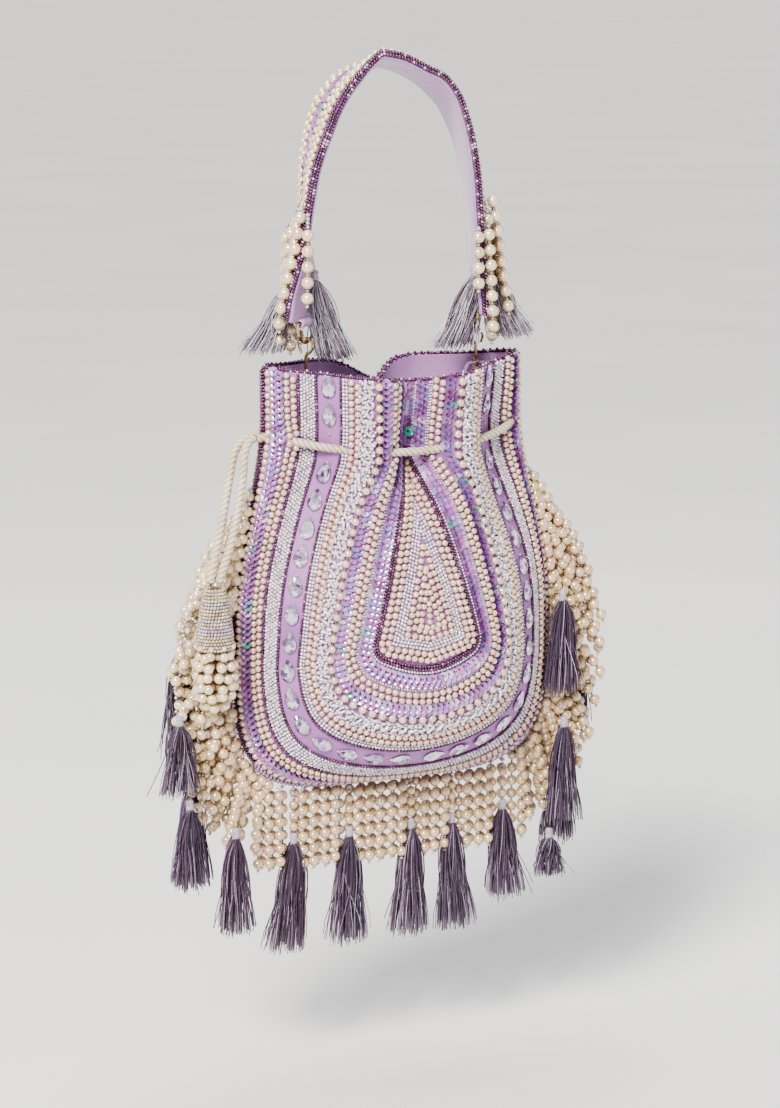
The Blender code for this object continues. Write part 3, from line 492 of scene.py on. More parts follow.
class Panel:
    """One half of the pouch: rows run from the rim round the bottom, and across each row from the seam to the teardrop."""

    def __init__(self, sign):
        self.sign = sign
        self.dip = Z_DIP_FRONT if sign < 0 else Z_DIP_BACK
        self.outer = seam_line(143, 55, 33)
        self.inner = drop_line(143, 55, 33, self.dip)
        self.t = np.linspace(0, 1, 141) ** 1.25
        x = self.outer[:, None, 0] * (1 - self.t) + self.inner[:, None, 0] * self.t
        z = self.outer[:, None, 1] * (1 - self.t) + self.inner[:, None, 1] * self.t
        self.P = np.dstack([x, sign * bulge(x, z), z + sag(sign, x, z)])
        d = np.linalg.norm(np.diff(self.P, axis=1), axis=2)
        d = np.concatenate([np.zeros((len(x), 1)), np.cumsum(d, axis=1)], axis=1)
        self.across = d[:, -1]
        self.frac = d / d[:, -1:]

    def normal(self, x, z):
        e = 0.0005
        a = half_width(z)
        xx = np.clip(x, -a + 2 * e, a - 2 * e)
        zz = np.clip(z, Z_BOTTOM + 3 * e, Z_RIM + 0.02)
        dx = (bulge(xx + e, zz) - bulge(xx - e, zz)) / (2 * e)
        dz = (bulge(xx, zz + e) - bulge(xx, zz - e)) / (2 * e)
        n = np.dstack([-dx, np.full_like(dx, self.sign), -dz])[0]
        return n / np.linalg.norm(n, axis=1)[:, None]

    def row(self, f):
        """The whole U of the row at share f of the way from the seam: points from the left rim to the right rim."""
        t = np.array([np.interp(f, fr, self.t) for fr in self.frac])
        x = self.outer[:, 0] * (1 - t) + self.inner[:, 0] * t
        z = self.outer[:, 1] * (1 - t) + self.inner[:, 1] * t
        right = np.c_[x, z]
        both = np.vstack([np.c_[-right[:, 0], right[:, 1]], right[::-1][1:]])
        return self.lift(both)

    def drop_row(self, d):
        """A closed line inside the teardrop, d in from its outline, all round."""
        c = np.array([0.0, Z_DROP + 0.022])
        half = self.inner[self.inner[:, 1] <= Z_APEX + 1e-6]
        half = half[(half[:, 0] > 1e-6) | (half[:, 1] < Z_DROP + 0.004)]
        ring = np.vstack([[[0.0, Z_APEX]], half, np.c_[-half[::-1, 0], half[::-1, 1]]])
        edge = np.roll(ring, -1, axis=0) - ring
        keep = np.linalg.norm(edge, axis=1) > 1e-6
        edge, at = edge[keep], ring[keep]
        n = np.c_[-edge[:, 1], edge[:, 0]] / np.linalg.norm(edge, axis=1)[:, None]
        h = np.sum(n * (at - c), axis=1)
        n, h = n * np.sign(h)[:, None], np.abs(h)
        a = np.linspace(-math.pi / 2, 1.5 * math.pi, 721)
        u = np.c_[np.cos(a), np.sin(a)]
        dots = u @ n.T
        r = np.where(dots > 1e-3, (h - d)[None, :] / np.maximum(dots, 1e-3), 9.0).min(axis=1)
        return self.lift(c + u * np.maximum(r, 0.0002)[:, None])

    def lift(self, xz):
        return np.c_[xz[:, 0], self.sign * bulge(xz[:, 0], xz[:, 1]), xz[:, 1] + sag(self.sign, xz[:, 0], xz[:, 1])]


def walk(path, pitch, start=0.5):
    """Points every pitch along a path, with their tangents."""
    d = np.r_[0, np.cumsum(np.linalg.norm(np.diff(path, axis=0), axis=1))]
    n = max(1, int((d[-1] - pitch * 0.4) / pitch))
    s = (np.arange(n) + start) * (d[-1] / n)
    p = np.c_[[np.interp(s, d, path[:, k]) for k in range(3)]].T
    q = np.c_[[np.interp(np.minimum(s + pitch * 0.3, d[-1]), d, path[:, k]) for k in range(3)]].T
    r = np.c_[[np.interp(np.maximum(s - pitch * 0.3, 0), d, path[:, k]) for k in range(3)]].T
    t = q - r
    t /= np.maximum(np.linalg.norm(t, axis=1), 1e-9)[:, None]
    return p, t


def frames(t, n, tilt=0.0, spin=0.0):
    """Rotation matrices with x along the tangent and z along the normal, tipped by tilt about y."""
    b = np.cross(n, t)
    b /= np.maximum(np.linalg.norm(b, axis=1), 1e-9)[:, None]
    n = np.cross(t, b)
    c, s = np.cos(tilt)[:, None] if np.ndim(tilt) else math.cos(tilt), np.sin(tilt)[:, None] if np.ndim(tilt) else math.sin(tilt)
    x, z = t * c + n * s, n * c - t * s
    if np.ndim(spin) or spin:
        cs, ss = np.cos(spin), np.sin(spin)
        if np.ndim(spin):
            cs, ss = cs[:, None], ss[:, None]
        x, b = x * cs + b * ss, b * cs - x * ss
    return np.stack([x, b, z], axis=2)


# ---------------------------------------------------------------- drawstring
def spline(points, n):
    p = [np.array(q, float) for q in points]
    p = [2 * p[0] - p[1]] + p + [2 * p[-1] - p[-2]]
    out = []
    for i in range(1, len(p) - 2):
        for k in range(16):
            t = k / 16
            out.append(0.5 * (2 * p[i] + (p[i + 1] - p[i - 1]) * t + (2 * p[i - 1] - 5 * p[i] + 4 * p[i + 1] - p[i + 2]) * t * t
                              + (3 * p[i] - p[i - 1] - 3 * p[i + 1] + p[i + 2]) * t ** 3))
    out.append(p[-2])
    return resample2(out, n)


def parallel_frames(path):
    t = np.gradient(path, axis=0)
    t /= np.linalg.norm(t, axis=1)[:, None]
    u = np.cross(t[0], [0, 0, 1.0]) if abs(t[0][2]) < 0.9 else np.cross(t[0], [1.0, 0, 0])
    u /= np.linalg.norm(u)
    us = [u]
    for i in range(1, len(path)):
        u = us[-1] - t[i] * np.dot(us[-1], t[i])
        us.append(u / np.linalg.norm(u))
    us = np.array(us)
    return t, us, np.cross(t, us)


def twisted(name, path, r, lay, body, sides=18, strands=3, phase=0.0):
    """A laid rope: strands turn round each other once every lay."""
    length = np.linalg.norm(np.diff(path, axis=0), axis=1).sum()
    path = resample2(path, max(8, int(length / 0.0007)))
    t, u, v = parallel_frames(path)
    s = np.linspace(0, length, len(path))
    a = np.linspace(0, 2 * math.pi, sides, endpoint=False)
    phi = 2 * math.pi * s / lay + phase
    lobe = np.abs(np.cos(strands / 2 * (a[None, :] - phi[:, None])))
    rad = r * (0.72 + 0.28 * lobe ** 0.55)
    pts = path[:, None, :] + rad[..., None] * (np.cos(a)[None, :, None] * u[:, None, :] + np.sin(a)[None, :, None] * v[:, None, :])
    n = len(path)
    verts = np.vstack([pts.reshape(-1, 3), path[:1], path[-1:]])
    # the tint darkens to 0.42 in the grooves where the strands meet: painted shade between the strands
    tone = np.clip(0.42 + 0.58 * lobe ** 0.7, 0, 1).reshape(-1)
    tint = np.c_[tone, tone * 0.985, tone * 0.96]
    tint = np.vstack([tint, [[0.8, 0.78, 0.75]] * 2])
    i, k = np.meshgrid(np.arange(n - 1), np.arange(sides), indexing="ij")
    k2 = (k + 1) % sides
    A, B, C, D = i * sides + k, i * sides + k2, (i + 1) * sides + k2, (i + 1) * sides + k
    f = np.vstack([np.c_[A.ravel(), B.ravel(), C.ravel()], np.c_[A.ravel(), C.ravel(), D.ravel()]])
    kk = np.arange(sides)
    e0, e1 = n * sides, n * sides + 1
    f = np.vstack([f, np.c_[(kk + 1) % sides, kk, np.full(sides, e0)], np.c_[(n - 1) * sides + kk, (n - 1) * sides + (kk + 1) % sides, np.full(sides, e1)]])
    ob = put(name, verts, f, M["rope"], body, True, tint)
    return ob, path


loop = [(ROPE_A * math.cos(t), ROPE_B * math.sin(t), rope_z(ROPE_A * math.cos(t))) for t in np.linspace(-math.radians(140), math.radians(140), 90)]
lead = [loop[0], (-0.0690, -0.0130, rope_z(-0.0690)), (-0.0770, -0.0046, -0.2118), (-0.0865, -0.0031, -0.2125)]
lead_a = spline(lead, 12)[1:]
lead_b = lead_a * np.array([1, -1, 1])
NECK_ROPE = np.vstack([lead_a[::-1], loop, lead_b])
ob, NECK_ROPE = twisted("neck_cord", NECK_ROPE, D_ROPE / 2, 0.0105, "pouch")
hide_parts("drawstring")
OUTSIDE = NECK_ROPE[NECK_ROPE[:, 0] > -0.0650]
CAP_AT, CAP_TOP = (-0.1215, -0.0235), -0.2925
TAILS = {
    "1": [(-0.0877, -0.0031, -0.2126), (-0.0908, -0.0032, -0.2133), (-0.0960, -0.0075, -0.2200), (-0.1000, -0.0130, -0.2370),
          (-0.1090, -0.0200, -0.2660), (-0.1188, -0.0235, -0.2905)],
    "2": [(-0.0873, 0.0031, -0.2126), (-0.0915, 0.0030, -0.2136), (-0.0985, 0.0012, -0.2200), (-0.1045, -0.0045, -0.2350),
          (-0.1140, -0.0150, -0.2610), (-0.1242, -0.0235, -0.2905)],
}

# the cap of seed beads and the cluster of pearls under it
cap = Pile()
zs = np.arange(0.0005, 0.0350, 0.0019)
for j, dz in enumerate(zs):
    r = np.interp(dz, [0, 0.006, 0.018, 0.028, 0.035], [0.0055, 0.0070, 0.0090, 0.0102, 0.0102])
    n = int(2 * math.pi * r / 0.0019)
    a = (np.arange(n) + 0.5 * (j % 2)) / n * 2 * math.pi
    pos = np.c_[CAP_AT[0] + r * np.cos(a), CAP_AT[1] + r * 0.85 * np.sin(a), np.full(n, CAP_TOP - 0.0015 - dz)]
    base = (0.62, 0.53, 0.40) if rng.random() < 0.75 else (0.55, 0.50, 0.52)
    cap.add("seed", pos, 0.00112, vary(base, n, 0.16, 0.04))
for a in np.linspace(0, 2 * math.pi, 9, endpoint=False):  # a petal edge of small clear beads
    pos = np.array([[CAP_AT[0] + 0.0112 * math.cos(a), CAP_AT[1] + 0.0096 * math.sin(a), CAP_TOP - 0.0350]])
    cap.add("pearl", pos, 0.0016, vary((0.75, 0.68, 0.60), 1))
cap_obs = cap.build("cord_cap", "pouch", {"seed": "seed_beads", "pearl": "pearl"}, ["drawstring_cap"])
cluster = Pile()
for j in range(6):
    dz = 0.0035 + j * 0.0061
    r = [0.0092, 0.0108, 0.0110, 0.0108, 0.0096, 0.0058][j]
    n = max(4, int(2 * math.pi * r / 0.0062))
    a = (np.arange(n) + 0.5 * (j % 2)) / n * 2 * math.pi + rng.normal(0, 0.06, n)
    pos = np.c_[CAP_AT[0] + r * np.cos(a), CAP_AT[1] + r * 0.82 * np.sin(a), CAP_TOP - 0.0368 - dz + rng.normal(0, 0.0007, n)]
    cluster.add("pearl", pos, 0.00305, vary(PEARL_IVORY, n, 0.05))
    if r > 0.007:
        m = max(3, n // 2)
        a = np.arange(m) / m * 2 * math.pi
        # inner ring in the shaded pearl copy: painted shade inside the cluster
        cluster.add("pearl", np.c_[CAP_AT[0] + r * 0.45 * np.cos(a), CAP_AT[1] + r * 0.4 * np.sin(a), np.full(m, CAP_TOP - 0.0368 - dz)], 0.0029, vary(PEARL_SHADED, m, 0.05))
cluster_obs = cluster.build("cord_pearls", "pouch", {"pearl": "pearl"}, ["drawstring_pearls"])
for k, pts in TAILS.items():
    path = spline(pts, 60)
    ob, fine = twisted("cord_tail_" + k, path, D_ROPE / 2 * 1.02, 0.0105, "pouch", phase=float(k))
    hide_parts("drawstring_tail_" + k)
    length = float(np.linalg.norm(np.diff(fine, axis=0), axis=1).sum())


# ---------------------------------------------------------------- panels
def panel_mesh(name, pan, node):
    """The fabric under the beads."""
    s = pan.sign
    ts = np.linspace(0, 1, 37)
    rows_i = np.linspace(0, len(pan.outer) - 1, 116).astype(int)
    o, q = pan.outer[rows_i], pan.inner[rows_i]
    cols = []
    for t in ts:
        cols.append(np.c_[o[:, 0] * (1 - t) + q[:, 0] * t, o[:, 1] * (1 - t) + q[:, 1] * t])
    mid = [np.c_[q[:, 0] * c, q[:, 1]] for c in np.linspace(1, -1, 23)[1:-1]]
    allc = cols + mid + [np.c_[-c[:, 0], c[:, 1]] for c in cols[::-1]]
    g = np.stack(allc, axis=1)
    n, m = g.shape[:2]
    y = s * bulge(g[..., 0], g[..., 1])
    v = np.dstack([g[..., 0], y, g[..., 1] + sag(s, g[..., 0], g[..., 1])]).reshape(-1, 3)
    i, j = np.meshgrid(np.arange(n - 1), np.arange(m - 1), indexing="ij")
    A, B, C, D = i * m + j, i * m + j + 1, (i + 1) * m + j + 1, (i + 1) * m + j
    f = np.c_[A.ravel(), B.ravel(), C.ravel(), D.ravel()]
    if s > 0:
        f = f[:, ::-1]
    bm = bmesh.new()
    vs = [bm.verts.new(p) for p in v]
    for q4 in f:
        bm.faces.new([vs[k] for k in q4])
    bmesh.ops.remove_doubles(bm, verts=bm.verts, dist=2e-5)
    bmesh.ops.dissolve_degenerate(bm, edges=bm.edges, dist=1e-6)
    me = bpy.data.meshes.new(name)
    bm.to_mesh(me)
    bm.free()
    ob = bpy.data.objects.new(name, me)
    bpy.context.scene.collection.objects.link(ob)
    me.polygons.foreach_set("use_smooth", np.full(len(me.polygons), True))
    me.materials.append(M["panel"])
    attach(ob, "pouch")
    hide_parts(node)
    area = sum(p.area for p in me.polygons)
    print("panel area", name, round(area, 4))
    return ob


def clear_of_rope(pos, r):
    """True where a bead doesn't run into the cord."""
    d = np.min(np.linalg.norm(pos[:, None, :] - OUTSIDE[None, ::3, :], axis=2), axis=1)
    return d > D_ROPE / 2 + r * 0.55


def on_panel(pan, pile, kind, path, pitch, r, tint, sink=0.45, start=0.5, jitter=0.0, tilt=0.0, side=0.0, scale=None, keep=1.0, spin=0.0, below=None, above=-1.0):
    p, t = walk(path, pitch, start)
    n = pan.normal(p[:, 0], p[:, 2])
    if side:
        b = np.cross(n, t)
        b /= np.maximum(np.linalg.norm(b, axis=1), 1e-9)[:, None]
        p = p + b * side
    if jitter:
        p = p + rng.normal(0, jitter, p.shape)
    p = p + n * (r * (1 - sink))
    ok = clear_of_rope(p, r) & (rng.random(len(p)) < keep) & (p[:, 2] < (Z_RIM + 0.0002 if below is None else below)) & (p[:, 2] > above)
    rot = frames(t, n, tilt, spin)[ok] if kind in ("sequin", "clear", "bugle") else None
    c = tint(len(p))[ok] if callable(tint) else vary(tint, len(p))[ok]
    pile.add(kind, p[ok], r if scale is None else np.array(scale), c, rot)


BANDS_TOTAL = 169.0


def dress(pan):
    """All the bead bands of one panel, from the seam inwards."""
    pearls, seeds, seq, clear = Pile(), Pile(), Pile(), Pile()
    row = lambda px: pan.row(px / BANDS_TOTAL)
    # one plum bead in ten is lightened: painted highlight
    plum = lambda n: np.clip(vary(PLUM, n, 0.25, 0.02) + (rng.random((n, 1)) < 0.10) * np.array([[0.35, 0.20, 0.30]]), 0.01, 1)
    silver = lambda n: vary(SILVER, n, 0.14, 0.03)
    pinkish = lambda n: vary(PEARL, n, 0.07, 0.02)

    # plum edge, a row of pearls, sequins with dark dots: the near-black seed in each sequin's hole is painted shade
    on_panel(pan, seeds, "seed", row(1.6), 0.0019, 0.00098, plum)
    on_panel(pan, pearls, "pearl", row(7.4), 0.0043, 0.0021, pinkish)
    for px, st in ((13.2, 0.2), (18.2, 0.7)):
        on_panel(pan, seq, "sequin", row(px), 0.0037, 0.0029, lilac, sink=0.75, start=st, tilt=0.30)
        on_panel(pan, seeds, "seed", row(px), 0.0037, 0.0007, (0.10, 0.05, 0.13), sink=-0.4, start=st)
    # two rows of pearls
    on_panel(pan, pearls, "pearl", row(25.5), 0.0040, 0.00195, pinkish)
    on_panel(pan, pearls, "pearl", row(31.8), 0.0040, 0.00195, pinkish, start=1.0)
    # plum, silver seeds, plum
    on_panel(pan, seeds, "seed", row(36.6), 0.0018, 0.00100, plum)
    for k, px in enumerate((39.6, 42.6, 45.6, 48.6, 51.4)):
        on_panel(pan, seeds, "seed", row(px), 0.0021, 0.00112, silver, start=0.5 + 0.5 * (k % 2), jitter=0.00012)
    on_panel(pan, seeds, "seed", row(54.2), 0.0018, 0.00100, plum)
    # drop stones on bare satin
    path = row(66.5)
    half = len(path) // 2
    for part, flip in ((path[:half + 1], True), (path[half:][::-1], True)):
        p, t = walk(part, 0.0163, 0.42)
        nn = pan.normal(p[:, 0], p[:, 2])
        p = p + nn * 0.0004
        ok = clear_of_rope(p, 0.005)
        spin = rng.normal(math.pi, 0.10, len(p))
        clear.add("clear", p[ok], np.array([0.0078, 0.0072, 0.0066]), vary((0.92, 0.87, 0.94), len(p), 0.03, 0.015)[ok], frames(t, nn, 0.0, spin)[ok])
        on_panel(pan, seeds, "seed", part, 0.0163, 0.0009, (0.55, 0.50, 0.56), start=0.02)
    # plum, white line, pearls
    on_panel(pan, seeds, "seed", row(78.6), 0.0018, 0.00100, plum)
    for px in (81.6, 84.8):
        on_panel(pan, seeds, "seed", row(px), 0.0021, 0.00110, silver)
    on_panel(pan, pearls, "pearl", row(89.6), 0.0040, 0.00195, pinkish)
    on_panel(pan, pearls, "pearl", row(95.6), 0.0040, 0.00195, pinkish, start=1.0)
    # lace of clear and white beads in leaf-like loops
    path = row(104.6)
    p, t = walk(path, 0.0056)
    nn = pan.normal(p[:, 0], p[:, 2])
    b = np.cross(nn, t)
    for u, v, r, kind in ((-0.0026, -0.0038, 0.00115, "s"), (-0.0014, -0.0027, 0.0012, "w"), (-0.0020, -0.0009, 0.0011, "w"), (-0.0002, -0.0008, 0.0013, "s"),
                          (0.0012, 0.0006, 0.0012, "w"), (0.0022, 0.0020, 0.0012, "s"), (0.0012, 0.0032, 0.0012, "w"), (-0.0004, 0.0036, 0.0011, "s"), (-0.0018, 0.0026, 0.0012, "w"),
                          (-0.0022, 0.0010, 0.0011, "w"), (0.0014, -0.0016, 0.0012, "w"), (0.0022, -0.0034, 0.0011, "s"), (0.0006, -0.0042, 0.0011, "w"), (-0.0006, 0.0018, 0.0011, "w")):
        for level in (0.45, 1.25):
            q = p + t * u + b * v + nn * (r * level) + rng.normal(0, 0.00032, p.shape)
            ok = clear_of_rope(q, r) & (q[:, 2] < Z_RIM) & (rng.random(len(q)) < (1.0 if level < 1 else 0.45))
            col = (0.90, 0.84, 0.86) if kind == "w" else (0.74, 0.66, 0.74)
            seeds.add("seed", q[ok], r, vary(col, len(q), 0.08, 0.03)[ok])
    spin = rng.normal(0.7, 0.35, len(p))
    q = p + nn * 0.0026
    ok = clear_of_rope(q, 0.002)
    seeds.add("bugle", q[ok], np.array([0.0023, 0.00070, 0.00070]), vary((0.88, 0.84, 0.88), len(q), 0.08, 0.02)[ok], frames(t, nn, 0.0, spin)[ok])
    # single larger pearls, sequins, two rows of pearls
    on_panel(pan, pearls, "pearl", row(115.5), 0.0062, 0.00245, pinkish)
    on_panel(pan, seeds, "seed", row(115.5), 0.0062, 0.00085, (0.42, 0.30, 0.26), start=0.0)
    for px, st in ((122.4, 0.3), (127.0, 0.8)):
        on_panel(pan, seq, "sequin", row(px), 0.0035, 0.0030, lilac, sink=0.75, start=st, tilt=0.30)
        # a near-black seed in each sequin's hole: painted shade
        on_panel(pan, seeds, "seed", row(px), 0.0070, 0.0007, (0.10, 0.05, 0.13), sink=-0.4, start=st)
    on_panel(pan, pearls, "pearl", row(133.8), 0.0042, 0.0020, pinkish)
    on_panel(pan, pearls, "pearl", row(140.2), 0.0042, 0.0020, pinkish, start=1.0)
    # thin white line, sequins, thin white line, plum rope
    for px in (144.4, 146.4):
        on_panel(pan, seeds, "seed", row(px), 0.0017, 0.00080, silver)
    for px, st in ((150.6, 0.4), (155.8, 0.9)):
        on_panel(pan, seq, "sequin", row(px), 0.0036, 0.0029, lilac, sink=0.75, start=st, tilt=0.30)
        # a near-black seed in each sequin's hole: painted shade
        on_panel(pan, seeds, "seed", row(px), 0.0072, 0.0007, (0.10, 0.05, 0.13), sink=-0.4, start=st)
    on_panel(pan, seeds, "seed", row(161.6), 0.0019, 0.00095, silver)
    on_panel(pan, seeds, "seed", row(164.4), 0.0018, 0.00100, plum, sink=0.3, below=Z_APEX + 0.004)
    on_panel(pan, seeds, "seed", row(167.2), 0.0018, 0.00110, plum, sink=0.2, below=Z_APEX + 0.004)
    on_panel(pan, seq, "sequin", row(165.5), 0.0032, 0.0025, lilac, sink=0.7, tilt=0.30, above=Z_APEX + 0.004)
    # the teardrop: pearls, silver seeds, a core of pearls
    for d, st in ((0.0018, 0.5), (0.0054, 0.0)):
        on_panel(pan, pearls, "pearl", pan.drop_row(d), 0.0040, 0.0020, pinkish, start=st)
    for j, d in enumerate((0.0083, 0.0103, 0.0123)):
        on_panel(pan, seeds, "seed", pan.drop_row(d), 0.0021, 0.00115, silver, start=0.5 * (j % 2), jitter=0.0001)
    for d, st in ((0.0148, 0.5), (0.0183, 0.2), (0.0213, 0.5)):
        on_panel(pan, pearls, "pearl", pan.drop_row(d), 0.0039, 0.0019, pinkish, start=st, jitter=0.00015)
    # pearls in what room the rows leave at the middle
    have = np.vstack([item[0] for item in pearls.items["pearl"]])[:, [0, 2]]
    core = []
    for z in np.arange(Z_DROP + 0.017, Z_DROP + 0.046, 0.0005):
        for x in (0.0, 0.0005, -0.0005, 0.001, -0.001, 0.0015, -0.0015, 0.002, -0.002, 0.003, -0.003, 0.004, -0.004):
            if np.min(np.hypot(*(have - (x, z)).T)) > 0.0034:
                core.append((x, z))
                have = np.vstack([have, [[x, z]]])
    if core:
        at = pan.lift(np.array(core))
        pearls.add("pearl", at + pan.normal(at[:, 0], at[:, 2]) * 0.0010, 0.0018, pinkish(len(at)))
    return pearls, seeds, seq, clear


front, back = Panel(-1.0), Panel(1.0)
for pan, name, node in ((front, "front", "front_panel"), (back, "back", "back_panel")):
    panel_mesh(name + "_fabric", pan, node)
    for pile, nm in zip(dress(pan), ("pearl_rows", "seed_rows", "sequin_rows", "stones")):
        pile.build("%s_%s" % (name, nm), "pouch", {"pearl": "pearl", "seed": "seed_beads", "bugle": "seed_beads", "sequin": "beaded_fabric", "clear": "seed_beads"},
                   small="seed" if pan is front else "grain")

# the one loose green cup sequin in the middle fold
one = Pile()
p = front.lift(np.array([[0.0005, -0.2110]]))
nn = front.normal(p[:, 0], p[:, 2])
nn = nn * 0.4 + np.array([[-0.35, -0.85, 0.1]])
nn /= np.linalg.norm(nn)
p = p + np.array([[-0.0006, -0.0048, 0.0]])
one.add("sequin", p, 0.0030, np.array([[0.06, 0.42, 0.30]]), frames(np.array([[1.0, 0, 0]]), nn, 0.0))
# a black seed in its hole: painted shade
one.add("seed", p + nn * 0.0003, 0.0009, np.array([[0.02, 0.02, 0.02]]))
one.build("green_dot", "pouch", {"sequin": "beaded_fabric", "seed": "seed_beads"})

# rim: a rope of plum seed beads with a few light ones
rim = []
for sign, dip in ((-1, Z_DIP_FRONT), (1, Z_DIP_BACK)):
    for t in np.linspace(-math.pi / 2, math.pi / 2, 140)[:-1]:
        x = A_RIM * math.sin(t) * -sign
        z = dip + (Z_RIM - dip) * abs(x) / A_RIM
        y = max(0.0, float(bulge(x, z)) - 0.0008)
        rim.append((x * 0.992, sign * y, z + float(sag(sign, x, z)) + 0.0008))
rim = np.array(rim + rim[:1])
edge = Pile()
p, t = walk(rim, 0.00135)
n = len(p)
turn = np.arange(n) * 2.05
up = np.tile([0, 0, 1.0], (n, 1))
side = np.cross(t, up)
side /= np.linalg.norm(side, axis=1)[:, None]
q = p + side * (np.cos(turn) * 0.0011)[:, None] + up * (np.sin(turn) * 0.0011)[:, None]
c = np.clip(vary(PLUM, n, 0.25, 0.02), 0.01, 1)
light = rng.random(n) < 0.24
c[light] = vary((0.70, 0.52, 0.62), light.sum(), 0.1)
edge.add("seed", q, 0.00090, c)
edge.add("seed", p, 0.00105, np.array(PLUM) * 1.2)
edge.build("rim_edge", "pouch", {"seed": "plum_piping"}, ["rim_piping"])

# seam: plum beads round the sides and the bottom
seam = seam_line(120, 60, 40)
full = np.vstack([np.c_[-seam[:, 0], seam[:, 1]], seam[::-1][1:]])
tang = np.gradient(full, axis=0)
nrm = np.c_[tang[:, 1], -tang[:, 0]]
nrm /= np.linalg.norm(nrm, axis=1)[:, None]
nrm *= np.sign(np.sum(nrm * (full - np.array([0.0, -0.30])), axis=1))[:, None]
off = full + nrm * 0.0012
seam3 = np.c_[off[:, 0], np.zeros(len(off)), off[:, 1]]
edge = Pile()
for y in (-0.0011, 0.0011):
    p, t = walk(seam3 + np.array([0, y, 0]), 0.0019, 0.5 if y < 0 else 1.0)
    edge.add("seed", p, 0.00100, np.clip(vary(PLUM, len(p), 0.25, 0.02), 0.01, 1))
low = seam3[(seam3[:, 2] < -0.405)]
for y, dz in ((-0.0036, 0.0006), (0.0036, 0.0006), (-0.0022, -0.0012), (0.0022, -0.0012), (0.0, -0.0022)):
    p, t = walk(low + np.array([0, y, dz]), 0.0025, 0.5 if y < 0 else 1.0)
    edge.add("seed", p, 0.00130, vary((0.50, 0.36, 0.52), len(p), 0.15, 0.03))
p, t = walk(np.c_[(full + nrm * 0.0004)[:, 0], np.zeros(len(full)), (full + nrm * 0.0004)[:, 1]], 0.0020)
edge.add("seed", p, 0.00125, np.array(PLUM) * 1.2)
edge.build("seam_edge", "pouch", {"seed": "plum_piping"}, ["seam_piping"])


# ---------------------------------------------------------------- lining
def lining_mesh():
    n, levels = 128, 46
    v = []
    for g in np.sin(np.linspace(0, math.pi / 2, levels)):
        for k in range(n):
            a = 2 * math.pi * k / n
            sign = -1.0 if math.sin(a) < 0 else 1.0
            x = math.cos(a)
            x = math.copysign(abs(x) ** 0.92, x)
            dip = Z_DIP_FRONT if sign < 0 else Z_DIP_BACK
            top = dip + (Z_RIM - dip) * abs(x) + 0.0002
            z = top + (-0.4160 - top) * g
            inset = 0.0016 + 0.0016 * float(smooth01((-0.19 - z) / 0.03))
            w = max(float(half_width(max(z - 0.003, Z_BOTTOM + 0.0002))) - inset * 1.3, 0.004)
            xx = w * x
            y = float(bulge(xx * float(half_width(z)) / w if w > 0 else 0.0, z)) - inset if abs(x) < 0.9999 else 0.0
            crease = 0.0012 * math.sin(37 * x + 3 * g) * math.sin(math.pi * min(1.0, g * 3)) * (1 - x * x)
            v.append((xx, sign * max(0.0, y * (1 - abs(x) ** 10) + crease - 0.0004), z + float(sag(sign, xx, z))))
    v = np.array(v)
    i, k = np.meshgrid(np.arange(levels - 1), np.arange(n), indexing="ij")
    k2 = (k + 1) % n
    f = np.c_[(i * n + k).ravel(), (i * n + k2).ravel(), ((i + 1) * n + k2).ravel(), ((i + 1) * n + k).ravel()]
    return v, f


v, f = lining_mesh()
ob = put("lining_cloth", v, f, M["lining"], "pouch")
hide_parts("lining")


# ---------------------------------------------------------------- handle
def leg_x(z):
    if z > HANDLE_SHOULDER:
        w = min(1.0, (z - HANDLE_SHOULDER) / (HANDLE_TOP - HANDLE_SHOULDER))
        return HANDLE_HALF * (1 - w ** 2.4) ** 0.62
    return HANDLE_HALF + (X_HEM - HANDLE_HALF) * (HANDLE_SHOULDER - z) / (HANDLE_SHOULDER - Z_HEM)


def leg_twist(s, z):
    return TWIST_HEM[s] * float(smooth01((-0.055 - z) / (-0.055 - Z_HEM))) ** 1.1


def leg_centre(s, n, z_end):
    zs = HANDLE_TOP - (HANDLE_TOP - z_end) * (np.linspace(0, 1, 600) ** 2.2)
    pts = np.array([(s * leg_x(z), 0.0, z) for z in zs])
    pts = resample2(pts, n)
    out = []
    for i, p in enumerate(pts):
        t = pts[min(i + 1, n - 1)] - pts[max(i - 1, 0)]
        if i == 0:
            t = np.array([1.0 * s, 0, 0])
        t = t / np.linalg.norm(t)
        th = leg_twist(s, p[2])
        w = np.array([-math.sin(th), -math.cos(th), 0.0])
        w = w - t * np.dot(w, t)
        w /= np.linalg.norm(w)
        out.append((p, -np.cross(t, w) * s, w))
    return out


# Both edges of the strap, front then back, as (x, z) in mm from the left hem's side over the fold at the top to the right.
# Below these the strap follows its CAD frames down to the hems.
EDGES_LEFT = [((-60.4, -101.0), (-44.6, -101.0)), ((-57.0, -82.0), (-45.2, -82.0)), ((-53.2, -62.0), (-45.6, -62.0)), ((-48.9, -48.5), (-44.4, -49.0)), ((-44.4, -37.8), (-42.2, -37.5)),
              ((-40.3, -28.2), (-38.2, -26.0)), ((-34.8, -18.6), (-31.0, -16.0)), ((-29.3, -11.6), (-23.0, -10.0)), ((-21.2, -2.4), (-11.5, -6.2)), ((-13.4, 4.6), (-1.0, -3.2))]
EDGES_RIGHT = [((-13.4, 4.6), (-1.0, -3.2)), ((-0.5, 1.8), (8.7, -6.0)), ((13.4, -4.8), (18.5, -10.6)), ((24.0, -9.8), (28.2, -17.5)), ((32.3, -20.3), (37.0, -26.5)), ((36.4, -31.0), (42.5, -36.0)),
               ((40.0, -43.5), (47.0, -46.0)), ((42.6, -57.0), (50.4, -57.0)), ((44.4, -72.0), (54.0, -72.0)), ((46.2, -98.0), (57.2, -98.0))]
N_LEG = 90
left, right = leg_centre(-1, 260, Z_HEM), leg_centre(1, 260, Z_HEM)


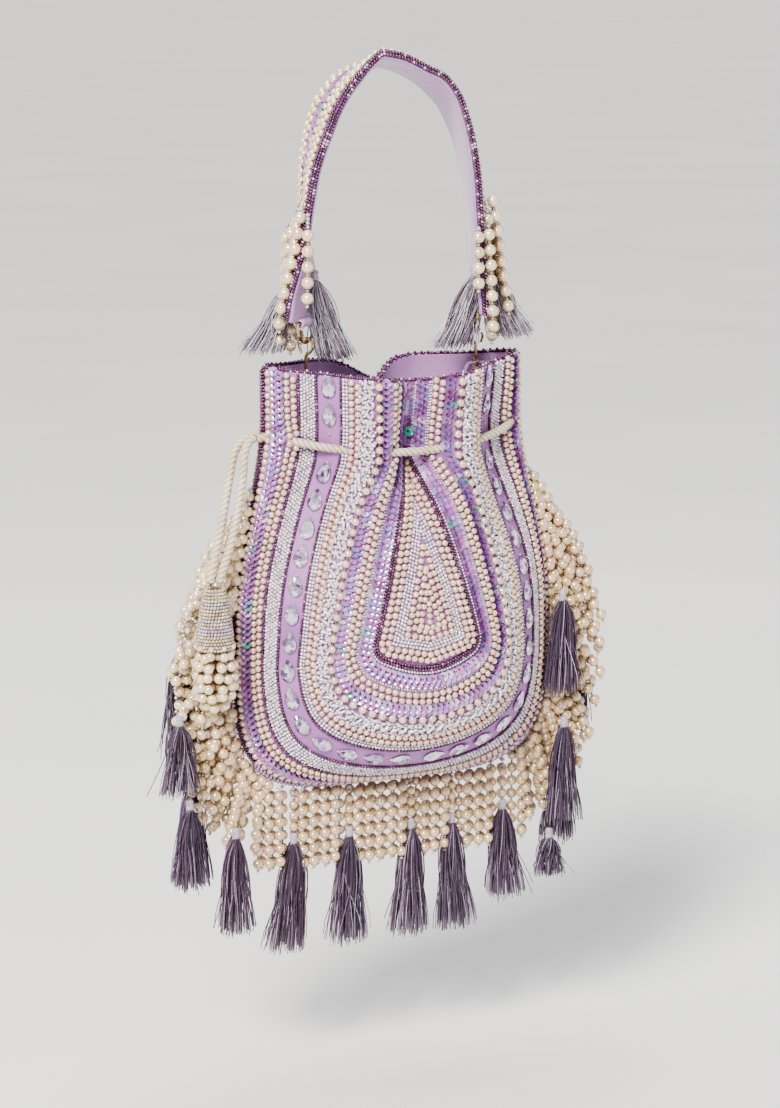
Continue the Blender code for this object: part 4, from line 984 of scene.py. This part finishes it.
def photo_leg(cad, edges, s):
    """Front and back edge lines of one leg, from the fold at the top down to the hem."""
    fronts = [np.array([x / 1000, -0.018, z / 1000]) for (x, z), q in edges]
    backs = [np.array([x / 1000, 0.018, z / 1000]) for q, (x, z) in edges]
    if s < 0:
        fronts, backs = fronts[::-1], backs[::-1]
    for z in (-0.120, -0.134, Z_HEM):
        p, o, w = min(cad, key=lambda q: abs(q[0][2] - z))
        fronts.append(p + w * 0.018)
        backs.append(p - w * 0.018)
    return spline(fronts, N_LEG), spline(backs, N_LEG)


(lf, lb), (rf, rb) = photo_leg(left, EDGES_LEFT, -1), photo_leg(right, EDGES_RIGHT, 1)
FRONT = np.vstack([lf[::-1], rf[1:]])
BACK = np.vstack([lb[::-1], rb[1:]])
SP = (FRONT + BACK) / 2
SW = FRONT - BACK
HW = np.linalg.norm(SW, axis=1)[:, None] / 2
SW = SW / (2 * HW)
ST = np.gradient(SP, axis=0)
ST[N_LEG - 1] = (SP[N_LEG] - SP[N_LEG - 2])
ST /= np.linalg.norm(ST, axis=1)[:, None]
SO = np.cross(SW, ST)
SO /= np.linalg.norm(SO, axis=1)[:, None]
SO *= np.sign(SO[N_LEG - 1, 2])
strap = [(SP[i], SO[i], SW[i]) for i in range(len(SP))]


def strap_line(u, lift):
    """A line along the strap, u of the half width towards the front edge, lift outwards."""
    return SP + SO * lift + SW * (u * HW)


def strip(name, profile, mat, closed=True):
    """profile is a list of (u, lift) across the strap."""
    m = len(profile)
    v = np.stack([strap_line(u, l) for u, l in profile], axis=1)
    n = len(v)
    i, k = np.meshgrid(np.arange(n - 1), np.arange(m if closed else m - 1), indexing="ij")
    k2 = (k + 1) % m
    f = np.c_[(i * m + k).ravel(), (i * m + k2).ravel(), ((i + 1) * m + k2).ravel(), ((i + 1) * m + k).ravel()].tolist()
    if closed:
        f += [list(range(m))[::-1], list(range((n - 1) * m, n * m))]
    return put(name, v.reshape(-1, 3), f, mat, "handle")


lo, hi = T_STRAP_LINING / 2 + 0.0003, T_STRAP_LINING / 2 + 0.0003 + T_STRAP - 0.0006
prof = [(u, lo) for u in np.linspace(-0.97, 0.97, 7)] + [(1.0, (lo + hi) / 2)] + [(u, hi) for u in np.linspace(0.96, -0.96, 9)] + [(-1.0, (lo + hi) / 2)]
ob = strip("strap_fabric", prof, M["panel"])
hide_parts("handle_strap")
SURF = hi


def hem_tongue(s, end):
    p, o, w = end
    down = np.array([0, 0, -1.0])
    w = w - down * np.dot(w, down)
    w /= np.linalg.norm(w)
    o = o - down * np.dot(o, down) - w * np.dot(o, w)
    o /= np.linalg.norm(o)
    r = 0.0020
    c = p + down * 0.0004 - o * r
    return [(c + o * r * math.cos(a) + down * r * math.sin(a), o * math.cos(a) + down * math.sin(a), w) for a in np.radians(np.linspace(4, 304, 25))]


v, f = [], []
curl_l, curl_r = hem_tongue(-1, left[-1]), hem_tongue(1, right[-1])
fr = curl_l[::-1] + strap + curl_r
cols = np.linspace(-1, 1, 11)
for i, (p, o, w) in enumerate(fr):
    wide = 0.018 if i < len(curl_l) or i >= len(fr) - len(curl_r) else STRAP_W * 0.985
    if len(curl_l) <= i < len(fr) - len(curl_r):
        wide = float(HW[i - len(curl_l), 0]) * 1.97
    for lift, us in ((-0.0006, cols), (0.0006, cols[::-1])):
        for u in us:
            v.append(p + o * (lift - 0.0004 * (1 - u * u) * (lift < 0)) + w * (u * wide / 2))
m, n = 22, len(fr)
for i in range(n - 1):
    for k in range(m):
        k2 = (k + 1) % m
        f.append([i * m + k, i * m + k2, (i + 1) * m + k2, (i + 1) * m + k])
f += [list(range(m))[::-1], list(range((n - 1) * m, n * m))]
ob = put("strap_lining", np.array(v), f, M["strap"], "handle")
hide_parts("handle_lining")

beads = Pile()


def on_strap(kind, u, pitch, r, tint, sink=0.45, start=0.5, tilt=0.0, lift=SURF, scale=None):
    line = strap_line(u, lift)
    p, t = walk(line, pitch, start)
    d = np.r_[0, np.cumsum(np.linalg.norm(np.diff(SP, axis=0), axis=1))]
    near = np.argmin(np.linalg.norm(p[:, None, :] - line[None, ::2, :], axis=2), axis=1) * 2
    nn = SO[np.minimum(near, len(SO) - 1)]
    p = p + nn * (r * (1 - sink))
    c = tint(len(p)) if callable(tint) else vary(tint, len(p))
    rot = frames(t, nn, tilt) if kind == "sequin" else None
    beads.add(kind, p, r if scale is None else np.array(scale), c, rot)


ivory = lambda n: vary(PEARL_IVORY, n, 0.05, 0.015)
plum = lambda n: np.clip(vary(PLUM, n, 0.25, 0.02), 0.01, 1)
on_strap("pearl", -0.84, 0.0050, 0.0024, ivory)
on_strap("pearl", -0.56, 0.0050, 0.0023, ivory, start=1.0)
for u, st in ((-0.28, 0.3), (-0.02, 0.8)):
    on_strap("sequin", u, 0.0038, 0.0030, lilac, sink=0.75, start=st, tilt=0.3)
    # a near-black seed in each sequin's hole: painted shade
    on_strap("seed", u, 0.0076, 0.0008, (0.10, 0.05, 0.13), sink=-0.3, start=st)
on_strap("pearl", 0.20, 0.0046, 0.0022, ivory)
on_strap("pearl", 0.43, 0.0046, 0.0022, ivory, start=1.0)
on_strap("pearl", 0.66, 0.0046, 0.0022, ivory)
on_strap("seed", 0.83, 0.0019, 0.0010, plum, sink=0.3)
on_strap("seed", 0.93, 0.0019, 0.0010, plum, sink=0.3, start=1.0)
beads.build("strap", "handle", {"pearl": "pearl", "seed": "plum_piping", "sequin": "beaded_fabric"})
for e, nm in ((1, "front"), (-1, "back")):
    beads = Pile()
    for lift, off_u, st in ((0.0016, 0.0009, 0.5), (0.0032, 0.0004, 1.0)):
        line = SP + SO * lift + SW * e * (HW + off_u)
        p, t = walk(line, 0.0019, st)
        c = np.clip(vary(PLUM, len(p), 0.25, 0.02), 0.01, 1)
        c[rng.random(len(p)) < 0.20] = (0.66, 0.50, 0.58)
        beads.add("seed", p, 0.00100, c)
    beads.build("strap_edge_" + nm, "handle", {"seed": "plum_piping"}, ["handle_piping_" + nm])


# ---------------------------------------------------------------- strings of pearls on the handle's ends
def bead_string(pile, path, r, pitch, colour, end=True, lead=0.0, count=None):
    """Pearls counted up from the free end, small gold spacers between, and small beads up to where it is sewn on."""
    dense = resample2(path, 200)
    s = np.r_[0, np.cumsum(np.linalg.norm(np.diff(dense, axis=0), axis=1))]
    d = s[-1]
    at = lambda q: np.c_[[np.interp(q, s, dense[:, k]) for k in range(3)]].T
    tail = 0.0020 if end else 0.0
    n = max(1, int((d - lead - tail) / pitch)) if count is None else count
    c = d - tail - r - np.arange(n) * pitch
    c = c[c > r * 0.6]
    pile.add("pearl", at(c), r, vary(colour, len(c), 0.06, 0.015))
    gaps = c[:-1] - pitch / 2
    if len(gaps):
        pile.add("seed", at(gaps), max(0.0009, (pitch - 2 * r) * 0.62), vary(GOLD_SEED, len(gaps), 0.15))
    top = c[-1] - r
    m = int(top / 0.0022)
    if m > 0:
        pile.add("seed", at((np.arange(m) + 0.5) * top / m), 0.00135, vary((0.66, 0.55, 0.64), m, 0.12))
    if end:
        pile.add("seed", at(np.array([c[0] + r + 0.0009])), 0.0012, vary((0.75, 0.66, 0.52), 1))


def string_path(s, u, lift, z0, z1, hang=0.0, spread=0.0):
    """From its stitch the string lies on the strap's face; hang 1 lets it fall straight instead."""
    half = strap[:N_LEG] if s < 0 else strap[N_LEG:]
    hw = HW[:N_LEG] if s < 0 else HW[N_LEG:]
    pts = []
    for z in np.linspace(z0, max(z1, Z_HEM), 9):
        i = int(np.argmin([abs(p[2] - z) for p, o, w in half]))
        p, o, w = half[i]
        q = p + o * lift + w * u * float(hw[i, 0])
        first = pts[0] if pts else q
        pts.append(np.array([q[0] * (1 - hang) + first[0] * hang, q[1] * (1 - hang) + first[1] * hang, z]))
    if z1 < Z_HEM - 0.001:
        pts.append(np.array([pts[-1][0], pts[-1][1], z1]))
    pts = np.array(pts)
    g = (z0 - pts[:, 2]) / (z0 - z1)
    pts[:, 0] += s * spread * g ** 0.8
    return resample2(pts, 40)


base_lift = T_STRAP_LINING / 2 + 0.0003 + T_STRAP
R_STRING = 0.0037
# (node, u, lift, top, end, hang): the first of each node's strings is the CAD one, the rest lie over it
STRINGS = {
    "left_1": [(-1, 0.66, base_lift + 0.0037, -0.080, -0.150, 0.0, 0.0), (-1, 0.98, base_lift + 0.0030, -0.076, -0.152, 0.0, 0.0), (-1, 0.40, base_lift + 0.0066, -0.088, -0.163, 0.0, 0.001)],
    "left_2": [(-1, 0.08, base_lift + 0.0037, -0.078, -0.1665, 0.0, 0.0), (-1, -0.12, base_lift + 0.0090, -0.090, -0.158, 0.0, 0.002)],
    "left_3": [(-1, -0.50, base_lift + 0.0037, -0.082, -0.162, 0.0, 0.0), (-1, -0.82, base_lift + 0.0045, -0.090, -0.150, 0.0, 0.0)],
    "left_4": [(-1, 1.18, 0.0032, -0.082, -0.1365, 0.95, 0.0)],
    "right_1": [(1, 0.62, base_lift + 0.0037, -0.080, -0.160, 0.0, 0.0), (1, 0.98, base_lift + 0.0032, -0.090, -0.1590, 0.2, 0.0), (1, 0.30, base_lift + 0.0080, -0.076, -0.149, 0.0, 0.0060)],
    "right_2": [(1, 0.10, base_lift + 0.0037, -0.078, -0.1665, 0.0, 0.0), (1, -0.05, base_lift + 0.0090, -0.084, -0.156, 0.0, 0.0040)],
    "right_3": [(1, -0.50, base_lift + 0.0037, -0.084, -0.160, 0.0, 0.0), (1, -0.22, base_lift + 0.0065, -0.090, -0.152, 0.0, 0.0)],
    "right_4": [(1, 1.22, 0.0006, -0.094, -0.1330, 0.9, 0.0)],
}
for name, group in STRINGS.items():
    pile = Pile()
    for s, u, lift, z0, z1, hang, spread in group:
        bead_string(pile, string_path(s, u, lift, z0, z1, hang, spread), R_STRING, 0.0090, PEARL_IVORY)
    pile.build("string_" + name, "handle", {"pearl": "pearl", "seed": "seed_beads"}, ["handle_string_" + name])


# ---------------------------------------------------------------- thread tassels
def thread_tassel(name, x, y, z_head, z_tip, r_tip, body, node, dark, pale, share, count=120, depth=0.62, lean=(0.0, 0.0), head=(0.58, 0.53, 0.58)):
    """A bound head and a skirt of fine threads, each its own curve."""
    h = z_head - z_tip
    k = 8
    s = np.linspace(0, 1, k)
    ang = rng.random(count) * 2 * math.pi
    rr = np.sqrt(rng.random(count))
    ln = h - 0.007
    length = ln * (1 + rng.normal(0, 0.04, count) - (rng.random(count) < 0.10) * 0.14)
    flare = s[None, :] ** 0.62 * (1 - 0.06 * s[None, :])
    wob = rng.normal(0, 0.0013, (count, 2))
    stray = (rng.random(count) < 0.07)[:, None] * np.clip(rng.normal(0, 0.006, (count, 2)), -0.008, 0.008)
    X = (0.0016 * rr * np.cos(ang))[:, None] + (r_tip * 0.98 * rr * np.cos(ang))[:, None] * flare + wob[:, :1] * np.sin(s * 5)[None, :] + stray[:, :1] * s[None, :] ** 2 + lean[0] * s[None, :] ** 1.4
    Y = (0.0016 * rr * np.sin(ang))[:, None] + (r_tip * 0.98 * depth * rr * np.sin(ang))[:, None] * flare + wob[:, 1:] * np.sin(s * 4 + 1)[None, :] + stray[:, 1:] * s[None, :] ** 2 * 0.6 + lean[1] * s[None, :] ** 1.4
    Z = z_head - 0.006 - length[:, None] * s[None, :]
    Z = np.maximum(Z, z_tip - 0.003)
    P = np.stack([x + X, y + Y, Z], axis=2)
    tri = np.array([0, 2 * math.pi / 3, 4 * math.pi / 3])
    rad = 0.00040 * (1 - 0.35 * s)
    T = np.gradient(P, axis=1)
    T /= np.linalg.norm(T, axis=2)[..., None]
    U = np.cross(T, np.array([1.0, 0.3, 0.0]))
    U /= np.linalg.norm(U, axis=2)[..., None]
    V = np.cross(T, U)
    v = P[:, :, None, :] + rad[None, :, None, None] * (np.cos(tri)[None, None, :, None] * U[:, :, None, :] + np.sin(tri)[None, None, :, None] * V[:, :, None, :])
    verts = v.reshape(-1, 3)
    idx = lambda c, i, j: (c * k + i) * 3 + j
    c, i, j = np.meshgrid(np.arange(count), np.arange(k - 1), np.arange(3), indexing="ij")
    c, i, j = c.ravel(), i.ravel(), j.ravel()
    j2 = (j + 1) % 3
    f = np.vstack([np.c_[idx(c, i, j), idx(c, i, j2), idx(c, i + 1, j2)], np.c_[idx(c, i, j), idx(c, i + 1, j2), idx(c, i + 1, j)]])
    cc = np.arange(count)
    f = np.vstack([f, np.c_[idx(cc, k - 1, 0), idx(cc, k - 1, 1), idx(cc, k - 1, 2)]])
    col = np.where((rng.random(count) < share)[:, None], vary(pale, count, 0.15, 0.02), vary(dark, count, 0.22, 0.012))
    tint = np.repeat(col, k * 3, axis=0)
    # threads darker near the head, where they crowd, and lighter towards the tips: painted shade near the head and
    # painted light on the spread tips
    crowd_shade = np.tile(np.repeat(0.75 + 0.35 * s ** 2, 3), count)[:, None]
    tint = np.clip(tint * crowd_shade, 0.005, 1)
    # a core that fills the skirt, coloured darker than the dark threads as painted shade inside the skirt, and the
    # bound head
    rings, sides = [], 14
    prof = [(0.0005, 0.0004), (0.0019, -0.0002), (0.0024, -0.0012), (0.0020, -0.0020), (0.0025, -0.0028), (0.0020, -0.0036), (0.0025, -0.0044), (0.0021, -0.0054)]
    core = [(0.0024, -0.0070), (r_tip * 0.36, -0.006 - ln * 0.22), (r_tip * 0.44, -0.006 - ln * 0.42), (r_tip * 0.30, -0.006 - ln * 0.62), (0.0, -0.006 - ln * 0.70)]
    a = np.linspace(0, 2 * math.pi, sides, endpoint=False)
    hv, ht = [], []
    for n_r, (r, dz) in enumerate(prof + core):
        g = min(1.0, max(0.0, (-dz - 0.006) / ln))
        d = 1.0 + (depth - 1.0) * min(1.0, g * 3)
        hv.append(np.c_[x + lean[0] * g ** 1.4 + r * np.cos(a), y + lean[1] * g ** 1.4 + r * d * np.sin(a), np.full(sides, z_head + dz)])
        ht.append(np.tile(np.array(head) if n_r < len(prof) else np.array(dark) * 0.55, (sides, 1)))
    hv, ht = np.vstack(hv), np.vstack(ht)
    b = len(verts)
    nr = len(prof) + len(core)
    i, q = np.meshgrid(np.arange(nr - 1), np.arange(sides), indexing="ij")
    i, q = i.ravel(), q.ravel()
    q2 = (q + 1) % sides
    hf = np.vstack([np.c_[i * sides + q, (i + 1) * sides + q, (i + 1) * sides + q2], np.c_[i * sides + q, (i + 1) * sides + q2, i * sides + q2]]) + b
    ob = put(name, np.vstack([verts, hv]), np.vstack([f, hf]), M["thread"], body, True, np.vstack([tint, ht]))
    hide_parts(node)
    return ob


DARK, PALE = (0.155, 0.098, 0.168), (0.50, 0.40, 0.52)
LDARK, LPALE = (0.42, 0.35, 0.44), (0.82, 0.76, 0.80)


def seam_below(x):
    w = (1 - min(1.0, abs(x) / (A_WIDE + 0.0039)) ** CORNER_POWER) ** (1 / CORNER_POWER)
    return Z_CORNER - w * (Z_CORNER - Z_BOTTOM + 0.0039)


strands = Pile()
leans = {1: -0.006, 2: -0.001, 3: -0.002, 4: 0.003, 5: 0.002}
for k, x in enumerate(BOTTOM_TASSEL_X, 1):
    zh = -0.4525 + 0.006 * float(smooth01((x - 0.03) / 0.06))
    tip = zh - 0.070 + (0.010 if x > 0.06 else 0.0)
    thread_tassel("tassel_front_%d" % k, x, -0.0012, zh, tip, 0.0118, "pouch", "tassel_bottom_%d" % k, DARK, PALE, 0.22, 185, 0.62, lean=(leans[k], 0.0))
    top = np.array([x, -0.001, seam_below(x)])
    path = np.array([top, [x, -0.001, zh + 0.0012]])
    # these strands take the shaded pearl copy: painted shade under the bag
    bead_string(strands, resample2(path, 20), 0.0028, 0.0068, PEARL_SHADED, end=False, lead=0.003)
HUNG = (
    ("tassel_left_1", -0.1405, -0.0145, -0.3690, -0.4160, 0.0115), ("tassel_left_2", -0.1350, -0.0145, -0.4200, -0.4720, 0.0115),
    ("tassel_left_3", -0.1060, -0.0135, -0.4410, -0.5040, 0.0115), ("tassel_right_1", 0.1060, -0.0150, -0.3170, -0.3800, 0.0115),
    ("tassel_right_2", 0.1080, -0.0150, -0.3960, -0.4610, 0.0115), ("tassel_right_3", 0.0990, -0.0140, -0.4655, -0.4950, 0.0095),
    ("tassel_back_1", -0.1290, 0.0150, -0.3350, -0.4000, 0.0115), ("tassel_back_2", -0.1230, 0.0150, -0.4150, -0.4800, 0.0115),
    ("tassel_back_3", 0.1290, 0.0150, -0.3450, -0.4100, 0.0115), ("tassel_back_4", 0.1200, 0.0150, -0.4180, -0.4820, 0.0115),
)
for name, x, y, zh, zt, r in HUNG:
    thread_tassel(name.replace("tassel", "tassel_side"), x, y, zh, zt, r, "pouch", name, DARK, PALE, 0.22, 150, 0.6)
for name, root, tip, zh, zt, r in (
    ("left_1", (-0.0640, 0.0070), (-0.0785, 0.0070), -0.1230, -0.1640, 0.0120), ("left_2", (-0.0470, 0.0040), (-0.0375, -0.0010), -0.1180, -0.1690, 0.0125),
    ("right_1", (0.0500, -0.0060), (0.0370, -0.0060), -0.1190, -0.1655, 0.0125), ("right_2", (0.0630, -0.0020), (0.0770, -0.0030), -0.1200, -0.1620, 0.0130),
):
    thread_tassel("handle_threads_" + name, root[0], root[1], zh, zt, r, "handle", "handle_tassel_" + name, LDARK, LPALE, 0.45, 210, 0.55,
                  lean=(tip[0] - root[0], tip[1] - root[1]))


# ---------------------------------------------------------------- pearl strands round the bag
# strands default to the shaded pearl copy: painted shade
def strand(path, r=0.0033, pitch=0.0081, colour=PEARL_SHADED, count=None, lead=0.0030):
    bead_string(strands, path, r, pitch, colour, end=True, lead=lead, count=count)


xs = np.arange(-0.0880, 0.0905, 0.0072)
for x in xs:
    for layer, y in ((0, -0.0022), (1, 0.0024)):
        xx = x + layer * 0.0037 + rng.normal(0, 0.0003)
        if layer == 0 and min(abs(xx - b) for b in BOTTOM_TASSEL_X) < 0.0042:
            continue
        z0 = seam_below(xx)
        z1 = Z_PEARL_END + 0.0020 * (xx / 0.08) ** 2 + rng.normal(0, 0.0005)
        path = np.array([[xx, y, z0], [xx + rng.normal(0, 0.0005), y, z1]])
        # bottom fringe in the shaded pearl copy: painted shade under the bag
        strand(resample2(path, 20), colour=PEARL_SHADED, count=9)


def fringe_out(z):
    if z > -0.345:
        w = min(1.0, (z + 0.345) / 0.090)
        return 0.1040 + (SIDE_FRINGE_OUT - 0.1040) * (1 - w ** 2.2) ** 0.8
    w = min(1.0, (-0.345 - z) / 0.1315)
    return 0.1010 + (SIDE_FRINGE_OUT - 0.1010) * (1 - w ** 2) ** 0.75


def clamp_in(path, s):
    """Keeps a strand outside the pouch and inside the outer edge of the bundle."""
    q = path.copy()
    for i in range(len(q)):
        inner = float(half_width(q[i, 2])) + 0.0032 if q[i, 2] > Z_BOTTOM + 0.002 else 0.0
        if q[i, 2] <= Z_CORNER:
            w = min(1.0, (Z_CORNER - q[i, 2]) / (Z_CORNER - Z_BOTTOM + 0.006))
            inner = (A_WIDE + 0.0032) * (1 - w ** CORNER_POWER) ** (1 / CORNER_POWER)
        outer = max(fringe_out(q[i, 2]), inner + 0.001)
        q[i, 0] = s * min(max(s * q[i, 0], inner), outer)
    return q


for s in (-1, 1):
    line = np.array([p for p in seam3[:len(seam3) // 2 + 1] if -0.4150 < p[2] < -0.238])
    line = line[np.argsort(-line[:, 2])]
    p, t = walk(np.c_[np.abs(line[:, 0]), line[:, 1], line[:, 2]], 0.0056)
    for i, q in enumerate(p):
        share = i / max(1, len(p) - 1)
        for lay in range(3):
            ang = math.radians(float(np.interp(share, [0, 0.22, 0.5, 0.8, 1.0], [40, 68, 72, 60, 34])) * (1.0, 0.66, 0.30)[lay] + rng.normal(0, 3.0))
            y0 = (-0.0052, 0.0004, 0.0052)[(i + lay) % 3] + rng.normal(0, 0.0008)
            pts = [np.array([s * q[0], y0 * 0.4, q[2]])]
            length = 0.0515 + rng.normal(0, 0.0012)
            for step in range(24):
                g = step / 23
                a = ang * (1 - 0.62 * g)
                pts.append(pts[-1] + np.array([s * math.sin(a), (y0 * 0.6 / 0.0515), -math.cos(a)]) * length / 24)
            path = clamp_in(np.array(pts), s)
            if path[:, 2].min() < Z_PEARL_END - 0.002:
                path = path[path[:, 2] > Z_PEARL_END - 0.002]
            if len(path) < 6:
                continue
            # the upper strands on the left, where the light falls, take the ivory pearl colour and the rest the shaded
            # copy: painted light and shade
            strand(path, colour=PEARL_IVORY if (s < 0 and q[2] > -0.36) else PEARL_SHADED, lead=0.0)
fringe_nodes = ["fringe_bottom_%d" % k for k in range(1, 5)] + ["fringe_%s_%s" % (s, p) for s in ("left", "right") for p in ("upper", "lower")]
strands.build("fringe", "pouch", {"pearl": "pearl", "seed": "seed_beads"}, fringe_nodes, small="grain")

# a clear looped bead strand that has worked loose on the left
loose = Pile()
a = np.linspace(0, 2 * math.pi, 17)[:-1]
pos = np.c_[-0.1335 + 0.0046 * np.cos(a), np.full(16, -0.0150), -0.3190 + 0.0070 * np.sin(a)]
loose.add("seed", pos, 0.0010, vary((0.80, 0.77, 0.78), 16, 0.06))
loose.build("loose_loop", "pouch", {"seed": "seed_beads"})

# ---------------------------------------------------------------- metal and tabs keep their CAD shapes
for names, mat in ((("ring_left", "ring_right", "clasp_left", "clasp_right", "clasp_lever_left", "clasp_lever_right"), M["gold"]), (("tab_left", "tab_right"), M["strap"])):
    for n in names:
        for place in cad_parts[n].material_slots:
            place.material = mat


# ---------------------------------------------------------------- floor and light
m, nt, p = new_material("plain_floor")
p.inputs["Base Color"].default_value = (0.80, 0.79, 0.78, 1)
p.inputs["Roughness"].default_value = 0.8
n = noise(nt, 3.0)
r = ramp(nt, n.outputs["Fac"], ((0.3, (0.78, 0.77, 0.765)), (0.7, (0.82, 0.81, 0.80))))
nt.links.new(r.outputs["Color"], p.inputs["Base Color"])
me = bpy.data.meshes.new("floor")
me.from_pydata([(-60, -60, -0.60), (60, -60, -0.60), (60, 60, -0.60), (-60, 60, -0.60)], [], [(0, 1, 2, 3)])
floor = bpy.data.objects.new("floor", me)
me.materials.append(m)
bpy.context.scene.collection.objects.link(floor)


def area_light(name, at, to, size, power, colour):
    d = bpy.data.lights.new(name, "AREA")
    d.shape = "RECTANGLE"
    d.size, d.size_y = size
    d.energy = power
    d.color = colour
    ob = bpy.data.objects.new(name, d)
    ob.location = at
    ob.rotation_euler = (Vector(to) - Vector(at)).to_track_quat("-Z", "Y").to_euler()
    bpy.context.scene.collection.objects.link(ob)


d = bpy.data.lights.new("sun", "SUN")
d.energy = 2.3
d.angle = math.radians(16.0)
d.color = (1.0, 0.97, 0.93)
ob = bpy.data.objects.new("sun", d)
ob.rotation_euler = Vector((0.72, 0.62, -0.86)).to_track_quat("-Z", "Y").to_euler()
bpy.context.scene.collection.objects.link(ob)
area_light("key", (-1.1, -1.5, 0.9), (0, 0, -0.28), (0.5, 0.5), 16.0, (1.0, 0.97, 0.93))
area_light("fill", (1.8, -1.2, 0.2), (0, 0, -0.28), (1.4, 1.4), 5.0, (0.93, 0.95, 1.0))
area_light("top", (0.1, 0.5, 1.5), (0, 0, -0.2), (1.2, 1.2), 12.0, (1.0, 1.0, 1.0))
world = bpy.data.worlds.new("studio")
bpy.context.scene.world = world
world.use_nodes = True
bg = world.node_tree.nodes["Background"]
bg.inputs["Color"].default_value = (0.84, 0.85, 0.88, 1)
bg.inputs["Strength"].default_value = 0.40
bpy.context.scene.view_settings.view_transform = "AgX"
bpy.context.scene.view_settings.look = "AgX - High Contrast"
bpy.context.scene.view_settings.exposure = 0.22
